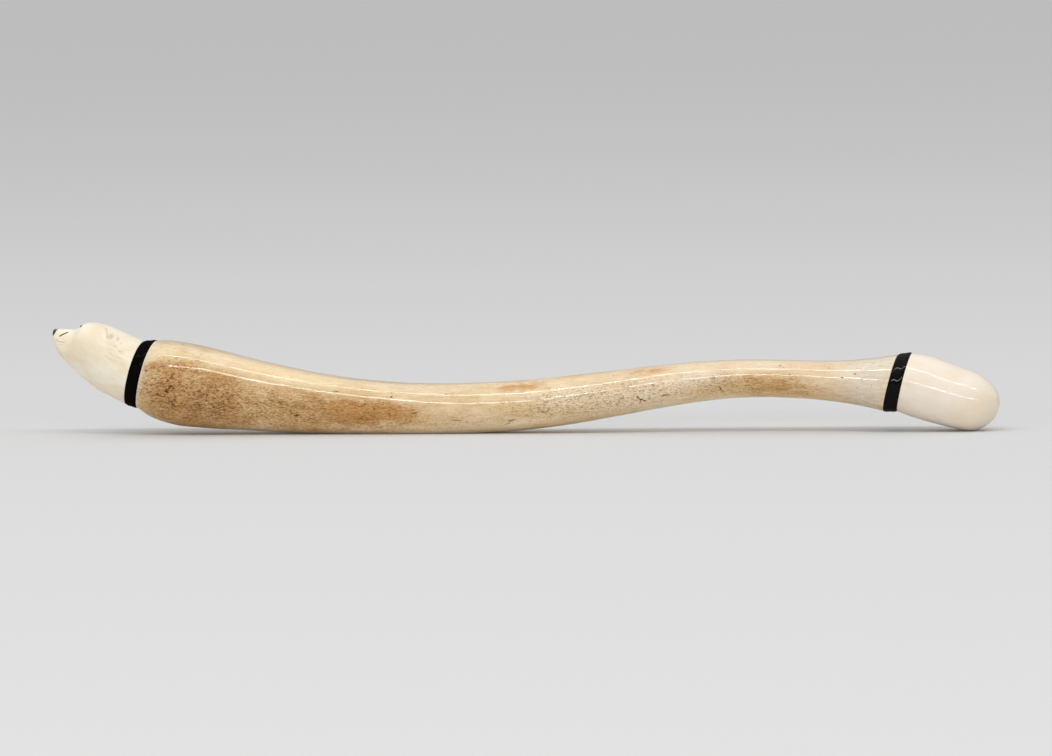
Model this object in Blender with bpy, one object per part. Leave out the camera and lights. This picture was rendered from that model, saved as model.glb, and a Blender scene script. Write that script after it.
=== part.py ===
"""A walrus baculum dressed as a carving: a bear's head, two black bands and a rounded end cap.

Metres, +Z up. The bone lies along X, with the head towards -X and the cap towards +X. It rests on a
flat worn on its belly and on a smaller flat under the cap, both at Z = 0. The bear's left is -Y.
"""

import math
from dataclasses import astuple, dataclass

import bmesh
import bpy
import numpy as np
from mathutils import Matrix, Vector

MM = 0.001

# Clear space between pieces that touch on the real thing.
GAP = 0.3 * MM

# Facets: sides of each ring, and the distance between rings along a piece.
BONE_SIDES = 40
BONE_RING_SPACING = 10.0
BAND_SIDES = 40
BAND_RING_SPACING = 1.4
HEAD_SIDES = 40
HEAD_RING_SPACING = 2.8
CAP_SIDES = 40
CAP_RING_SPACING = 5.0
INLAY_SEGMENTS = 16
INLAY_RINGS = 8

# How far the black bands stand proud in the middle, and how far their rims are rounded down.
BAND_CROWN = 0.35
BAND_RIM_DROP = 0.4
BAND_RIM_WIDTH = 0.7


@dataclass
class Rib:
    """One cross-section of a long piece, in millimetres and degrees.

    x, z and y place its centre. tall is measured across the bone's own axis, and wide along Y.
    lean tips the top of the section towards +X. shoulder is the height of the widest level above
    the centre, as a share of half the height. crown and belly say how square the upper and the
    lower half are: 2 is an ellipse, and more is squarer.
    """

    x: float
    z: float
    tall: float
    wide: float
    lean: float
    y: float = 0.0
    shoulder: float = 0.0
    crown: float = 2.0
    belly: float = 2.0


# The bone, from its cut face at the head to its cut face at the cap.
BONE = [
    Rib(-223.4, 35.3, 41.5, 39.6, 17.0, 0.8, 0.2, 2.20, 1.9),
    Rib(-217.0, 33.1, 45.8, 43.6, 15.6, 0.5, 0.25, 2.45, 1.9),
    Rib(-210.0, 31.1, 47.8, 45.4, 14.2, 0.2, 0.29, 2.70, 1.9),
    Rib(-200.0, 28.8, 48.6, 46.0, 12.4, 0.0, 0.32, 2.90, 1.9),
    Rib(-185.0, 26.4, 46.7, 44.8, 10.6, -0.3, 0.33, 3.00, 1.95),
    Rib(-165.0, 23.3, 42.6, 42.0, 8.8, -0.7, 0.31, 3.00, 2.0),
    Rib(-145.0, 20.5, 39.2, 39.0, 7.2, -1.0, 0.29, 3.00, 2.05),
    Rib(-120.0, 17.6, 35.1, 36.0, 5.4, -1.3, 0.28, 3.00, 2.1),
    Rib(-95.0, 15.5, 32.4, 33.8, 3.4, -1.5, 0.25, 2.93, 2.1),
    Rib(-70.0, 14.3, 30.7, 32.2, 1.6, -1.6, 0.2, 2.65, 2.1),
    Rib(-45.0, 14.0, 29.9, 31.4, -0.2, -1.5, 0.15, 2.30, 2.1),
    Rib(-20.0, 14.8, 29.5, 31.0, -2.6, -1.3, 0.15, 2.00, 2.05),
    Rib(5.0, 16.3, 29.2, 30.4, -5.2, -0.9, 0.15, 1.87, 2.0),
    Rib(30.0, 19.0, 28.3, 29.4, -7.4, -0.4, 0.16, 1.87, 2.0),
    Rib(55.0, 22.4, 26.7, 28.2, -8.4, 0.2, 0.16, 1.92, 2.0),
    Rib(80.0, 26.0, 25.2, 27.0, -7.6, 0.7, 0.16, 1.98, 2.0),
    Rib(105.0, 29.0, 23.4, 26.0, -5.2, 1.1, 0.15, 2.08, 2.0),
    Rib(130.0, 30.6, 22.1, 25.4, -2.0, 1.4, 0.14, 2.18, 2.0),
    Rib(155.0, 30.4, 21.9, 25.4, 2.0, 1.4, 0.13, 2.28, 2.0),
    Rib(178.0, 29.3, 22.9, 26.6, 6.0, 1.2, 0.11, 2.34, 2.0),
    Rib(195.0, 28.5, 25.8, 29.2, 9.5, 0.9, 0.09, 2.33, 2.05),
    Rib(207.0, 28.1, 29.6, 32.2, 12.5, 0.7, 0.05, 2.25, 2.1),
    Rib(217.2, 27.8, 33.8, 35.4, 15.2, 0.5, 0.02, 2.16, 2.1),
]

# The head, from the face behind the band to the tip of the muzzle.
HEAD = [
    Rib(-230.8, 36.2, 38.8, 38.2, 17.0, 0.8, 0.14, 2.1, 1.9),
    Rib(-237.6, 39.4, 37.8, 36.8, 20.5, 0.8, 0.12, 2.1, 1.9),
    Rib(-245.0, 43.0, 37.7, 35.4, 22.0, 0.8, 0.12, 2.1, 1.9),
    Rib(-251.9, 47.1, 35.6, 33.8, 22.3, 0.8, 0.14, 2.2, 1.95),
    Rib(-257.6, 50.0, 33.0, 31.6, 22.7, 0.8, 0.16, 2.25, 1.95),
    Rib(-262.4, 52.2, 29.4, 28.6, 23.5, 0.8, 0.16, 2.25, 1.95),
    Rib(-265.9, 53.7, 25.6, 24.4, 25.5, 0.8, 0.12, 2.2, 1.95),
    Rib(-268.2, 54.0, 22.2, 20.6, 27.5, 0.8, 0.06, 2.15, 2.0),
    Rib(-270.4, 54.0, 19.0, 17.8, 27.0, 0.8, 0.02, 2.15, 2.05),
    Rib(-273.0, 54.9, 16.0, 15.2, 23.0, 0.8, 0.0, 2.2, 2.1),
    Rib(-275.6, 56.0, 13.2, 12.8, 16.0, 0.8, 0.0, 2.3, 2.1),
    Rib(-278.0, 57.4, 10.0, 9.8, 7.0, 0.8, 0.0, 2.4, 2.1),
    Rib(-279.3, 58.8, 7.0, 7.0, 2.0, 0.8, 0.0, 2.4, 2.1),
    Rib(-279.9, 59.4, 3.6, 3.7, 0.0, 0.8, 0.0, 2.2, 2.1),
]
HEAD_TIP = Rib(-280.0, 59.6, 0.0, 0.0, 0.0, 0.8)

# The end cap, from the face behind the band to its rounded end.
CAP = [
    Rib(225.4, 28.2, 35.0, 36.4, 14.6, 0.5, 0.0, 2.10, 2.05),
    Rib(235.6, 25.4, 36.8, 38.6, 14.2, 0.4, 0.02, 1.95, 2.1),
    Rib(244.5, 22.5, 36.2, 38.6, 13.5, 0.3, 0.03, 1.95, 2.15),
    Rib(253.4, 19.7, 35.4, 37.4, 12.9, 0.2, 0.02, 1.95, 2.15),
    Rib(260.6, 17.5, 34.5, 35.2, 12.3, 0.1, 0.0, 1.93, 2.15),
    Rib(266.6, 15.7, 32.4, 31.8, 11.1, 0.0, 0.0, 1.95, 2.1),
    Rib(271.8, 14.8, 27.0, 26.2, 10.3, 0.0, 0.0, 2.0, 2.05),
    Rib(275.8, 14.2, 20.4, 19.4, 10.3, 0.0, 0.0, 2.0, 2.0),
    Rib(278.4, 14.2, 13.0, 12.4, 9.0, 0.0, 0.0, 2.0, 2.0),
    Rib(279.55, 14.5, 5.8, 5.4, 8.0, 0.0, 0.0, 2.0, 2.0),
]
CAP_TIP = Rib(280.0, 14.6, 0.0, 0.0, 8.0)

# The head's small forms, in millimetres. Sideways places are measured from the head's middle.
HEAD_MIDDLE_Y = 0.8
BROW_AT = (-257.6, 5.6, 65.6)
BROW_REACH = 6.5
BROW_RISE = 0.6
BRIDGE_AT = (-265.5, 0.0, 62.4)
BRIDGE_REACH = 4.5
BRIDGE_RISE = -0.5
EAR_AT = (-241.6, 11.3, 58.4)
EAR_RADII = (2.7, 1.8, 4.2)
EAR_ROLL = 50.0
EAR_LEAN = 20.0
EYE_AT = (-260.9, 5.5, 63.5)
EYE_RADIUS = 1.6
NOSE_AT = (-280.4, 0.0, 61.5)
NOSE_RADII = (4.0, 7.0, 4.0)

# Material settings: sRGB colour, roughness and metallic value.
BONE_FINISH = ((0.83, 0.70, 0.52), 0.25, 0.0)
IVORY_FINISH = ((0.96, 0.91, 0.82), 0.30, 0.0)
BALEEN_FINISH = ((0.07, 0.06, 0.06), 0.30, 0.0)
INLAY_FINISH = ((0.05, 0.04, 0.04), 0.25, 0.0)


def linear(channel):
    """One sRGB channel as the linear value that a shader takes."""
    if channel <= 0.04045:
        return channel / 12.92
    return ((channel + 0.055) / 1.055) ** 2.4


def material(name, finish):
    """A plain Principled material."""
    colour, roughness, metallic = finish
    made = bpy.data.materials.new(name)
    made.use_nodes = True
    shader = made.node_tree.nodes["Principled BSDF"]
    shader.inputs["Base Color"].default_value = (*(linear(channel) for channel in colour), 1.0)
    shader.inputs["Roughness"].default_value = roughness
    shader.inputs["Metallic"].default_value = metallic
    return made


def add_object(name, bm, finish_material=None):
    """A new object from a bmesh, shaded smooth, with its faces pointing out."""
    bmesh.ops.recalc_face_normals(bm, faces=bm.faces[:])
    mesh = bpy.data.meshes.new(name)
    bm.to_mesh(mesh)
    bm.free()
    mesh.shade_smooth()
    mesh.set_sharp_from_angle(angle=math.radians(35.0))
    made = bpy.data.objects.new(name, mesh)
    bpy.context.scene.collection.objects.link(made)
    if finish_material is not None:
        mesh.materials.append(finish_material)
    return made


def spread(ribs, spacing):
    """More ribs along the same form, about spacing millimetres apart, on smooth curves."""
    table = np.array([astuple(rib) for rib in ribs])
    steps = np.diff(table[:, :3], axis=0)
    travel = np.concatenate([[0.0], np.cumsum(np.hypot(np.hypot(*steps[:, :2].T), steps[:, 2] / 2))])
    slopes = np.gradient(table, travel, axis=0)
    spread_ribs = []
    for start in range(len(ribs) - 1):
        length = travel[start + 1] - travel[start]
        count = max(1, round(length / spacing))
        for step in range(count):
            t = step / count
            row = (
                (2 * t**3 - 3 * t**2 + 1) * table[start]
                + (t**3 - 2 * t**2 + t) * length * slopes[start]
                + (3 * t**2 - 2 * t**3) * table[start + 1]
                + (t**3 - t**2) * length * slopes[start + 1]
            )
            spread_ribs.append(Rib(*row))
    return [*spread_ribs, ribs[-1]]


def place_ring(verts, rib):
    """Moves a ring of vertices onto a rib's outline, in metres."""
    lean = math.radians(rib.lean)
    up = Vector((math.sin(lean), 0.0, math.cos(lean)))
    centre = Vector((rib.x, rib.y, rib.z)) * MM
    half_tall = rib.tall / 2 * MM
    half_wide = rib.wide / 2 * MM
    for index, vert in enumerate(verts):
        angle = 2 * math.pi * index / len(verts)
        across = math.cos(angle)
        rise = math.sin(angle)
        power = rib.crown if rise >= 0 else rib.belly
        reach = (abs(across) ** power + abs(rise) ** power) ** (-1 / power)
        share = 1 - rib.shoulder if rise >= 0 else 1 + rib.shoulder
        height = (rib.shoulder + share * reach * rise) * half_tall
        vert.co = centre + up * height + Vector((0.0, across * reach * half_wide, 0.0))


def loft(ribs, sides, tip=None):
    """A closed skin through the ribs, flat at its first rib, and at its last unless it has a tip."""
    bm = bmesh.new()
    ring = bmesh.ops.create_circle(bm, cap_ends=True, segments=sides, radius=1.0)["verts"]
    place_ring(ring, ribs[0])
    edges = bm.edges[:]
    for rib in ribs[1:]:
        grown = bmesh.ops.extrude_edge_only(bm, edges=edges)["geom"]
        ring = follow_ring(ring, grown)
        place_ring(ring, rib)
        edges = [item for item in grown if isinstance(item, bmesh.types.BMEdge)]
        edges = [edge for edge in edges if set(edge.verts) <= set(ring)]
    bmesh.ops.contextual_create(bm, geom=ring)
    if tip is not None:
        bm.faces.ensure_lookup_table()
        end_face = next(face for face in ring[0].link_faces if set(face.verts) == set(ring))
        pole = bmesh.ops.poke(bm, faces=[end_face])["verts"][0]
        pole.co = Vector((tip.x, tip.y, tip.z)) * MM
    return bm


def follow_ring(ring, grown):
    """The new vertices of an extruded ring, in the order of the old ones."""
    new_verts = {item for item in grown if isinstance(item, bmesh.types.BMVert)}
    following = []
    for vert in ring:
        partners = (edge.other_vert(vert) for edge in vert.link_edges)
        following.append(next(partner for partner in partners if partner in new_verts))
    return following


def rest_on_ground(bm):
    """Cuts off what would lie below Z = 0 and closes the cut with one flat face."""
    geometry = bm.verts[:] + bm.edges[:] + bm.faces[:]
    cut = bmesh.ops.bisect_plane(
        bm, geom=geometry, dist=1e-6, plane_co=(0, 0, 0), plane_no=(0, 0, 1), clear_inner=True
    )["geom_cut"]
    edges = [item for item in cut if isinstance(item, bmesh.types.BMEdge)]
    bmesh.ops.edgeloop_fill(bm, edges=edges)


def moved_along_axis(rib, distance):
    """The same rib moved square to its own plane, towards -X for a positive distance."""
    lean = math.radians(rib.lean)
    values = list(astuple(rib))
    values[0] -= distance * math.cos(lean)
    values[1] += distance * math.sin(lean)
    return Rib(*values)


def between(first, last, share, proud):
    """A rib part of the way from one to another, standing proud of both."""
    values = [a + (b - a) * share for a, b in zip(astuple(first), astuple(last), strict=True)]
    values[2] += 2 * proud
    values[3] += 2 * proud
    return Rib(*values)


def band_ribs(right, left):
    """The ribs of a band that fills the space between two cut faces, less a gap at each."""
    first = moved_along_axis(right, GAP / MM)
    last = moved_along_axis(left, -GAP / MM)
    width = math.dist((first.x, first.z), (last.x, last.z))
    rim = BAND_RIM_WIDTH / width
    return [
        between(first, last, 0.0, -BAND_RIM_DROP),
        between(first, last, rim, BAND_CROWN / 2),
        between(first, last, 0.5, BAND_CROWN),
        between(first, last, 1 - rim, BAND_CROWN / 2),
        between(first, last, 1.0, -BAND_RIM_DROP),
    ]


def swell(bm, at, reach, rise):
    """Raises or lowers the skin around a point, along its own normals, with a soft edge."""
    bm.normal_update()
    centre = Vector(at) * MM
    moves = []
    for vert in bm.verts:
        share = (vert.co - centre).length / (reach * MM)
        if share < 1.0:
            moves.append((vert, vert.normal * (rise * MM * (1 - share**2) ** 2)))
    for vert, move in moves:
        vert.co += move


def beside(at, side):
    """A place on the bear's left (side -1) or right (side 1)."""
    return (at[0], HEAD_MIDDLE_Y + side * at[1], at[2])


def ellipsoid(at, radii, roll=0.0, lean=0.0):
    """A round lump: roll turns it about X, and lean then tips its top back towards the neck."""
    bm = bmesh.new()
    bmesh.ops.create_uvsphere(bm, u_segments=INLAY_SEGMENTS, v_segments=INLAY_RINGS, radius=MM)
    placed = (
        Matrix.Translation(Vector(at) * MM)
        @ Matrix.Rotation(math.radians(lean), 4, "Y")
        @ Matrix.Rotation(math.radians(roll), 4, "X")
        @ Matrix.Diagonal((*radii, 1.0))
    )
    bmesh.ops.transform(bm, matrix=placed, verts=bm.verts[:])
    return bm


def cutter(name, bm):
    """A hidden tool that cuts or joins another piece."""
    made = add_object(name, bm)
    made.hide_render = True
    made.display_type = "WIRE"
    return made


def combine(target, tool, operation):
    """A Boolean modifier on a piece."""
    modifier = target.modifiers.new(tool.name, "BOOLEAN")
    modifier.object = tool
    modifier.operation = operation
    modifier.solver = "EXACT"


def build_bone(finish):
    """The bone itself, with the flat on its belly."""
    bm = loft(spread(BONE, BONE_RING_SPACING), BONE_SIDES)
    rest_on_ground(bm)
    return add_object("baculum", bm, finish)


def build_bands(finish):
    """The two black bands, one behind each cut face of the bone."""
    head_band = loft(spread(band_ribs(BONE[0], HEAD[0]), BAND_RING_SPACING), BAND_SIDES)
    cap_band = loft(spread(band_ribs(CAP[0], BONE[-1]), BAND_RING_SPACING), BAND_SIDES)
    return add_object("head_band", head_band, finish), add_object("cap_band", cap_band, finish)


def head_skin():
    """The head's skin with brows and the dip in front of them, before ears, eyes and nose."""
    bm = loft(spread(HEAD, HEAD_RING_SPACING), HEAD_SIDES, HEAD_TIP)
    for side in (-1, 1):
        swell(bm, beside(BROW_AT, side), BROW_REACH, BROW_RISE)
    swell(bm, beside(BRIDGE_AT, 0), BRIDGE_REACH, BRIDGE_RISE)
    return bm


def build_head(ivory, inlay):
    """The bear's head with its ears, the two eyes and the nose."""
    head = add_object("bear_head", head_skin(), ivory)
    for side, word in ((-1, "left"), (1, "right")):
        ear = ellipsoid(beside(EAR_AT, side), EAR_RADII, side * EAR_ROLL, EAR_LEAN)
        combine(head, cutter(f"ear_form_{word}", ear), "UNION")
        eye_at = beside(EYE_AT, side)
        add_object(f"eye_{word}", ellipsoid(eye_at, [EYE_RADIUS] * 3), inlay)
        socket = ellipsoid(eye_at, [EYE_RADIUS + GAP / MM] * 3)
        combine(head, cutter(f"eye_socket_{word}", socket), "DIFFERENCE")
    nose = add_object("nose", head_skin(), inlay)
    nose_at = beside(NOSE_AT, 0)
    combine(nose, cutter("nose_form", ellipsoid(nose_at, NOSE_RADII)), "INTERSECT")
    pocket_radii = [radius + GAP / MM for radius in NOSE_RADII]
    combine(head, cutter("nose_pocket", ellipsoid(nose_at, pocket_radii)), "DIFFERENCE")


def build_cap(ivory):
    """The rounded end cap, with the small flat under it."""
    bm = loft(spread(CAP, CAP_RING_SPACING), CAP_SIDES, CAP_TIP)
    rest_on_ground(bm)
    return add_object("end_cap", bm, ivory)


def main():
    for old in list(bpy.data.objects):
        bpy.data.objects.remove(old)
    build_bone(material("polished_bone", BONE_FINISH))
    build_bands(material("baleen", BALEEN_FINISH))
    ivory = material("ivory", IVORY_FINISH)
    build_head(ivory, material("black_inlay", INLAY_FINISH))
    build_cap(ivory)


main()
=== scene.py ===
"""The looks of a carved and polished walrus baculum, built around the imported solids.

Every piece is modelled here at full smoothness in place of its plain solid, in metres, with the bone
along X, the bear's head towards -X and its left side towards -Y. Sizes are given in millimetres and
degrees. Places on the bone are given by their X and by their angle around it from the top, towards
the bear's left.
"""

import logging
import math
from collections.abc import Iterable
from dataclasses import astuple, dataclass, field
from enum import Enum

import bmesh
import bpy
import numpy as np
from mathutils import Matrix, Vector


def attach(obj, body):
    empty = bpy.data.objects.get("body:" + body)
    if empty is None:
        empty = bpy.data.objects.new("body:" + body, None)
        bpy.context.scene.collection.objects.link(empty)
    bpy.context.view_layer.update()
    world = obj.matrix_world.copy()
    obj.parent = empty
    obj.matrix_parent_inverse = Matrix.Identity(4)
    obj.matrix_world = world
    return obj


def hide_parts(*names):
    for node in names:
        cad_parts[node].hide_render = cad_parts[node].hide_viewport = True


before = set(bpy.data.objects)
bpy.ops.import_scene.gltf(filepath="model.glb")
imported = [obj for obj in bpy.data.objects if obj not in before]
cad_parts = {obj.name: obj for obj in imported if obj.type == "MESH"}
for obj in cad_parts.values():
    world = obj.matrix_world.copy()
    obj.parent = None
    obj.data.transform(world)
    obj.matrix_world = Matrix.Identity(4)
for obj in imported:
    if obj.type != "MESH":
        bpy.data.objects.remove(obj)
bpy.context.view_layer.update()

log = logging.getLogger("baculum")

MM = 0.001

# The width of the camera's sensor, in millimetres.
SENSOR_WIDTH = 36.0

# The thickness to which a form is evened out where its grain is laid, in millimetres.
EVEN_SIZE = 30.0

# Edges that turn by more than this stay sharp, in degrees.
SHARP_TURN = 50.0

# Ring points closer than this are one point, in metres.
SAME_POINT = 1e-7

# A direction shorter than this is taken as none, as where a ring closes to a point.
NO_LENGTH = 1e-12

# How a range of values is mapped smoothly onto another.
SMOOTH = {"interpolation_type": "SMOOTHSTEP"}

Socket = bpy.types.NodeSocket


class Slot(Enum):
    """The record's finishes."""

    BONE = "bone"
    IVORY = "ivory"
    BALEEN = "black_baleen"
    INLAY = "black_inlay"


class Side(Enum):
    """The two sides of the bear, by the direction of Y."""

    LEFT = -1
    RIGHT = 1


@dataclass(frozen=True)
class Rib:
    """One cross-section of a long piece, in millimetres and degrees.

    x, z and y place its centre. tall is measured across the bone's own axis, and wide along Y. lean
    tips its top towards +X. shoulder is the height of the widest level above the centre, as a share
    of half the height. crown and belly say how square the upper and the lower half are.
    """

    x: float
    z: float
    tall: float
    wide: float
    lean: float
    y: float = 0.0
    shoulder: float = 0.0
    crown: float = 2.0
    belly: float = 2.0


BONE_RIBS = (
    Rib(-223.4, 35.3, 41.5, 39.6, 17.0, 0.8, 0.2, 2.20, 1.9),
    Rib(-217.0, 33.1, 45.8, 43.6, 15.6, 0.5, 0.25, 2.45, 1.9),
    Rib(-210.0, 31.1, 47.8, 45.4, 14.2, 0.2, 0.29, 2.70, 1.9),
    Rib(-200.0, 28.8, 48.6, 46.0, 12.4, 0.0, 0.32, 2.90, 1.9),
    Rib(-185.0, 26.4, 46.7, 44.8, 10.6, -0.3, 0.33, 3.00, 1.95),
    Rib(-165.0, 23.3, 42.6, 42.0, 8.8, -0.7, 0.31, 3.00, 2.0),
    Rib(-145.0, 20.5, 39.2, 39.0, 7.2, -1.0, 0.29, 3.00, 2.05),
    Rib(-120.0, 17.6, 35.1, 36.0, 5.4, -1.3, 0.28, 3.00, 2.1),
    Rib(-95.0, 15.5, 32.4, 33.8, 3.4, -1.5, 0.25, 2.93, 2.1),
    Rib(-70.0, 14.3, 30.7, 32.2, 1.6, -1.6, 0.2, 2.65, 2.1),
    Rib(-45.0, 14.0, 29.9, 31.4, -0.2, -1.5, 0.15, 2.30, 2.1),
    Rib(-20.0, 14.8, 29.5, 31.0, -2.6, -1.3, 0.15, 2.00, 2.05),
    Rib(5.0, 16.3, 29.2, 30.4, -5.2, -0.9, 0.15, 1.87, 2.0),
    Rib(30.0, 19.0, 28.3, 29.4, -7.4, -0.4, 0.16, 1.87, 2.0),
    Rib(55.0, 22.4, 26.7, 28.2, -8.4, 0.2, 0.16, 1.92, 2.0),
    Rib(80.0, 26.0, 25.2, 27.0, -7.6, 0.7, 0.16, 1.98, 2.0),
    Rib(105.0, 29.0, 23.4, 26.0, -5.2, 1.1, 0.15, 2.08, 2.0),
    Rib(130.0, 30.6, 22.1, 25.4, -2.0, 1.4, 0.14, 2.18, 2.0),
    Rib(155.0, 30.4, 21.9, 25.4, 2.0, 1.4, 0.13, 2.28, 2.0),
    Rib(178.0, 29.3, 22.9, 26.6, 6.0, 1.2, 0.11, 2.34, 2.0),
    Rib(195.0, 28.5, 25.8, 29.2, 9.5, 0.9, 0.09, 2.33, 2.05),
    Rib(207.0, 28.1, 29.6, 32.2, 12.5, 0.7, 0.05, 2.25, 2.1),
    Rib(217.2, 27.8, 33.8, 35.4, 15.2, 0.5, 0.02, 2.16, 2.1),
)

HEAD_RIBS = (
    Rib(-230.8, 36.2, 38.8, 38.2, 17.0, 0.8, 0.14, 2.1, 1.9),
    Rib(-237.6, 39.4, 37.8, 36.8, 20.5, 0.8, 0.12, 2.1, 1.9),
    Rib(-245.0, 43.0, 37.7, 35.4, 22.0, 0.8, 0.12, 2.1, 1.9),
    Rib(-251.9, 47.1, 35.6, 33.8, 22.3, 0.8, 0.14, 2.2, 1.95),
    Rib(-257.6, 50.0, 33.0, 31.6, 22.7, 0.8, 0.16, 2.25, 1.95),
    Rib(-262.4, 52.2, 29.4, 28.6, 23.5, 0.8, 0.16, 2.25, 1.95),
    Rib(-265.9, 53.7, 25.6, 24.4, 25.5, 0.8, 0.12, 2.2, 1.95),
    Rib(-268.2, 54.0, 22.2, 20.6, 27.5, 0.8, 0.06, 2.15, 2.0),
    Rib(-270.4, 54.0, 19.0, 17.8, 27.0, 0.8, 0.02, 2.15, 2.05),
    Rib(-273.0, 54.9, 16.0, 15.2, 23.0, 0.8, 0.0, 2.2, 2.1),
    Rib(-275.6, 56.0, 13.2, 12.8, 16.0, 0.8, 0.0, 2.3, 2.1),
    Rib(-278.0, 57.4, 10.0, 9.8, 7.0, 0.8, 0.0, 2.4, 2.1),
    Rib(-279.3, 58.8, 7.0, 7.0, 2.0, 0.8, 0.0, 2.4, 2.1),
    Rib(-279.9, 59.4, 3.6, 3.7, 0.0, 0.8, 0.0, 2.2, 2.1),
    Rib(-280.0, 59.6, 0.0, 0.0, 0.0, 0.8, 0.0, 2.2, 2.1),
)

CAP_RIBS = (
    Rib(225.4, 28.2, 35.0, 36.4, 14.6, 0.5, 0.0, 2.10, 2.05),
    Rib(235.6, 25.4, 36.8, 38.6, 14.2, 0.4, 0.02, 1.95, 2.1),
    Rib(244.5, 22.5, 36.2, 38.6, 13.5, 0.3, 0.03, 1.95, 2.15),
    Rib(253.4, 19.7, 35.4, 37.4, 12.9, 0.2, 0.02, 1.95, 2.15),
    Rib(260.6, 17.5, 34.5, 35.2, 12.3, 0.1, 0.0, 1.93, 2.15),
    Rib(266.6, 15.7, 32.4, 31.8, 11.1, 0.0, 0.0, 1.95, 2.1),
    Rib(271.8, 14.8, 27.0, 26.2, 10.3, 0.0, 0.0, 2.0, 2.05),
    Rib(275.8, 14.2, 20.4, 19.4, 10.3, 0.0, 0.0, 2.0, 2.0),
    Rib(278.4, 14.2, 13.0, 12.4, 9.0, 0.0, 0.0, 2.0, 2.0),
    Rib(279.55, 14.5, 5.8, 5.4, 8.0, 0.0, 0.0, 2.0, 2.0),
    Rib(280.0, 14.6, 0.0, 0.0, 8.0),
)


def linear(shade: str) -> tuple[float, float, float, float]:
    """Turns an sRGB hex colour into the linear colour that a shader takes.

    Args:
        shade: The colour as "#rrggbb".

    Returns:
        Red, green, blue and full alpha, linear.
    """
    channels = [int(shade[start : start + 2], 16) / 255 for start in (1, 3, 5)]
    lit = [c / 12.92 if c <= 0.04045 else ((c + 0.055) / 1.055) ** 2.4 for c in channels]
    return (*lit, 1.0)


def soft(share: np.ndarray) -> np.ndarray:
    """A smooth hump that is 1 where share is 0 and 0 from where share is 1."""
    return np.clip(1 - share**2, 0, None) ** 2


def put(name: str, data: bpy.types.ID, where: Matrix | None = None) -> bpy.types.Object:
    """Puts a mesh, a light or a camera into the scene.

    Args:
        name: Its name.
        data: The mesh, light or camera.
        where: Where it stands and how it is turned, if it isn't at the origin.

    Returns:
        The new object.
    """
    made = bpy.data.objects.new(name, data)
    if where is not None:
        made.matrix_world = where
    bpy.context.scene.collection.objects.link(made)
    return made


def to_piece(bm: bmesh.types.BMesh, name: str) -> bpy.types.Object:
    """Turns a shape into a smooth piece in the scene.

    Args:
        bm: The shape, which is freed.
        name: The piece's name.

    Returns:
        The piece.
    """
    mesh = bpy.data.meshes.new(name)
    bm.to_mesh(mesh)
    bm.free()
    mesh.shade_smooth()
    return put(name, mesh)


class Waves:
    """Smooth uneven values over places, made of a few dozen slanting waves."""

    def __init__(self, seed: int, lengths: tuple[float, ...], size: float, count: int = 24) -> None:
        """Draws the waves.

        Args:
            seed: Which draw to use.
            lengths: The shortest feature along each axis of a place, in metres.
            size: About the highest value.
            count: How many waves are added.
        """
        draw = np.random.default_rng(seed)
        turns = draw.normal(size=(count, len(lengths)))
        turns /= np.linalg.norm(turns, axis=1, keepdims=True)
        pace = draw.uniform(0.5, 1.0, size=(count, 1))
        self.steps = 2 * math.pi * turns * pace / np.array(lengths)
        self.starts = draw.uniform(0, 2 * math.pi, size=count)
        self.size = size / math.sqrt(count / 2) / 2

    def at(self, places: np.ndarray) -> np.ndarray:
        """The values at an array of places.

        Args:
            places: The places, whose last axis holds their coordinates, in metres.

        Returns:
            One value for each place.
        """
        total = np.zeros(places.shape[:-1])
        for step, start in zip(self.steps, self.starts, strict=True):
            total += np.sin(places @ step + start)
        return total * self.size


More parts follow.
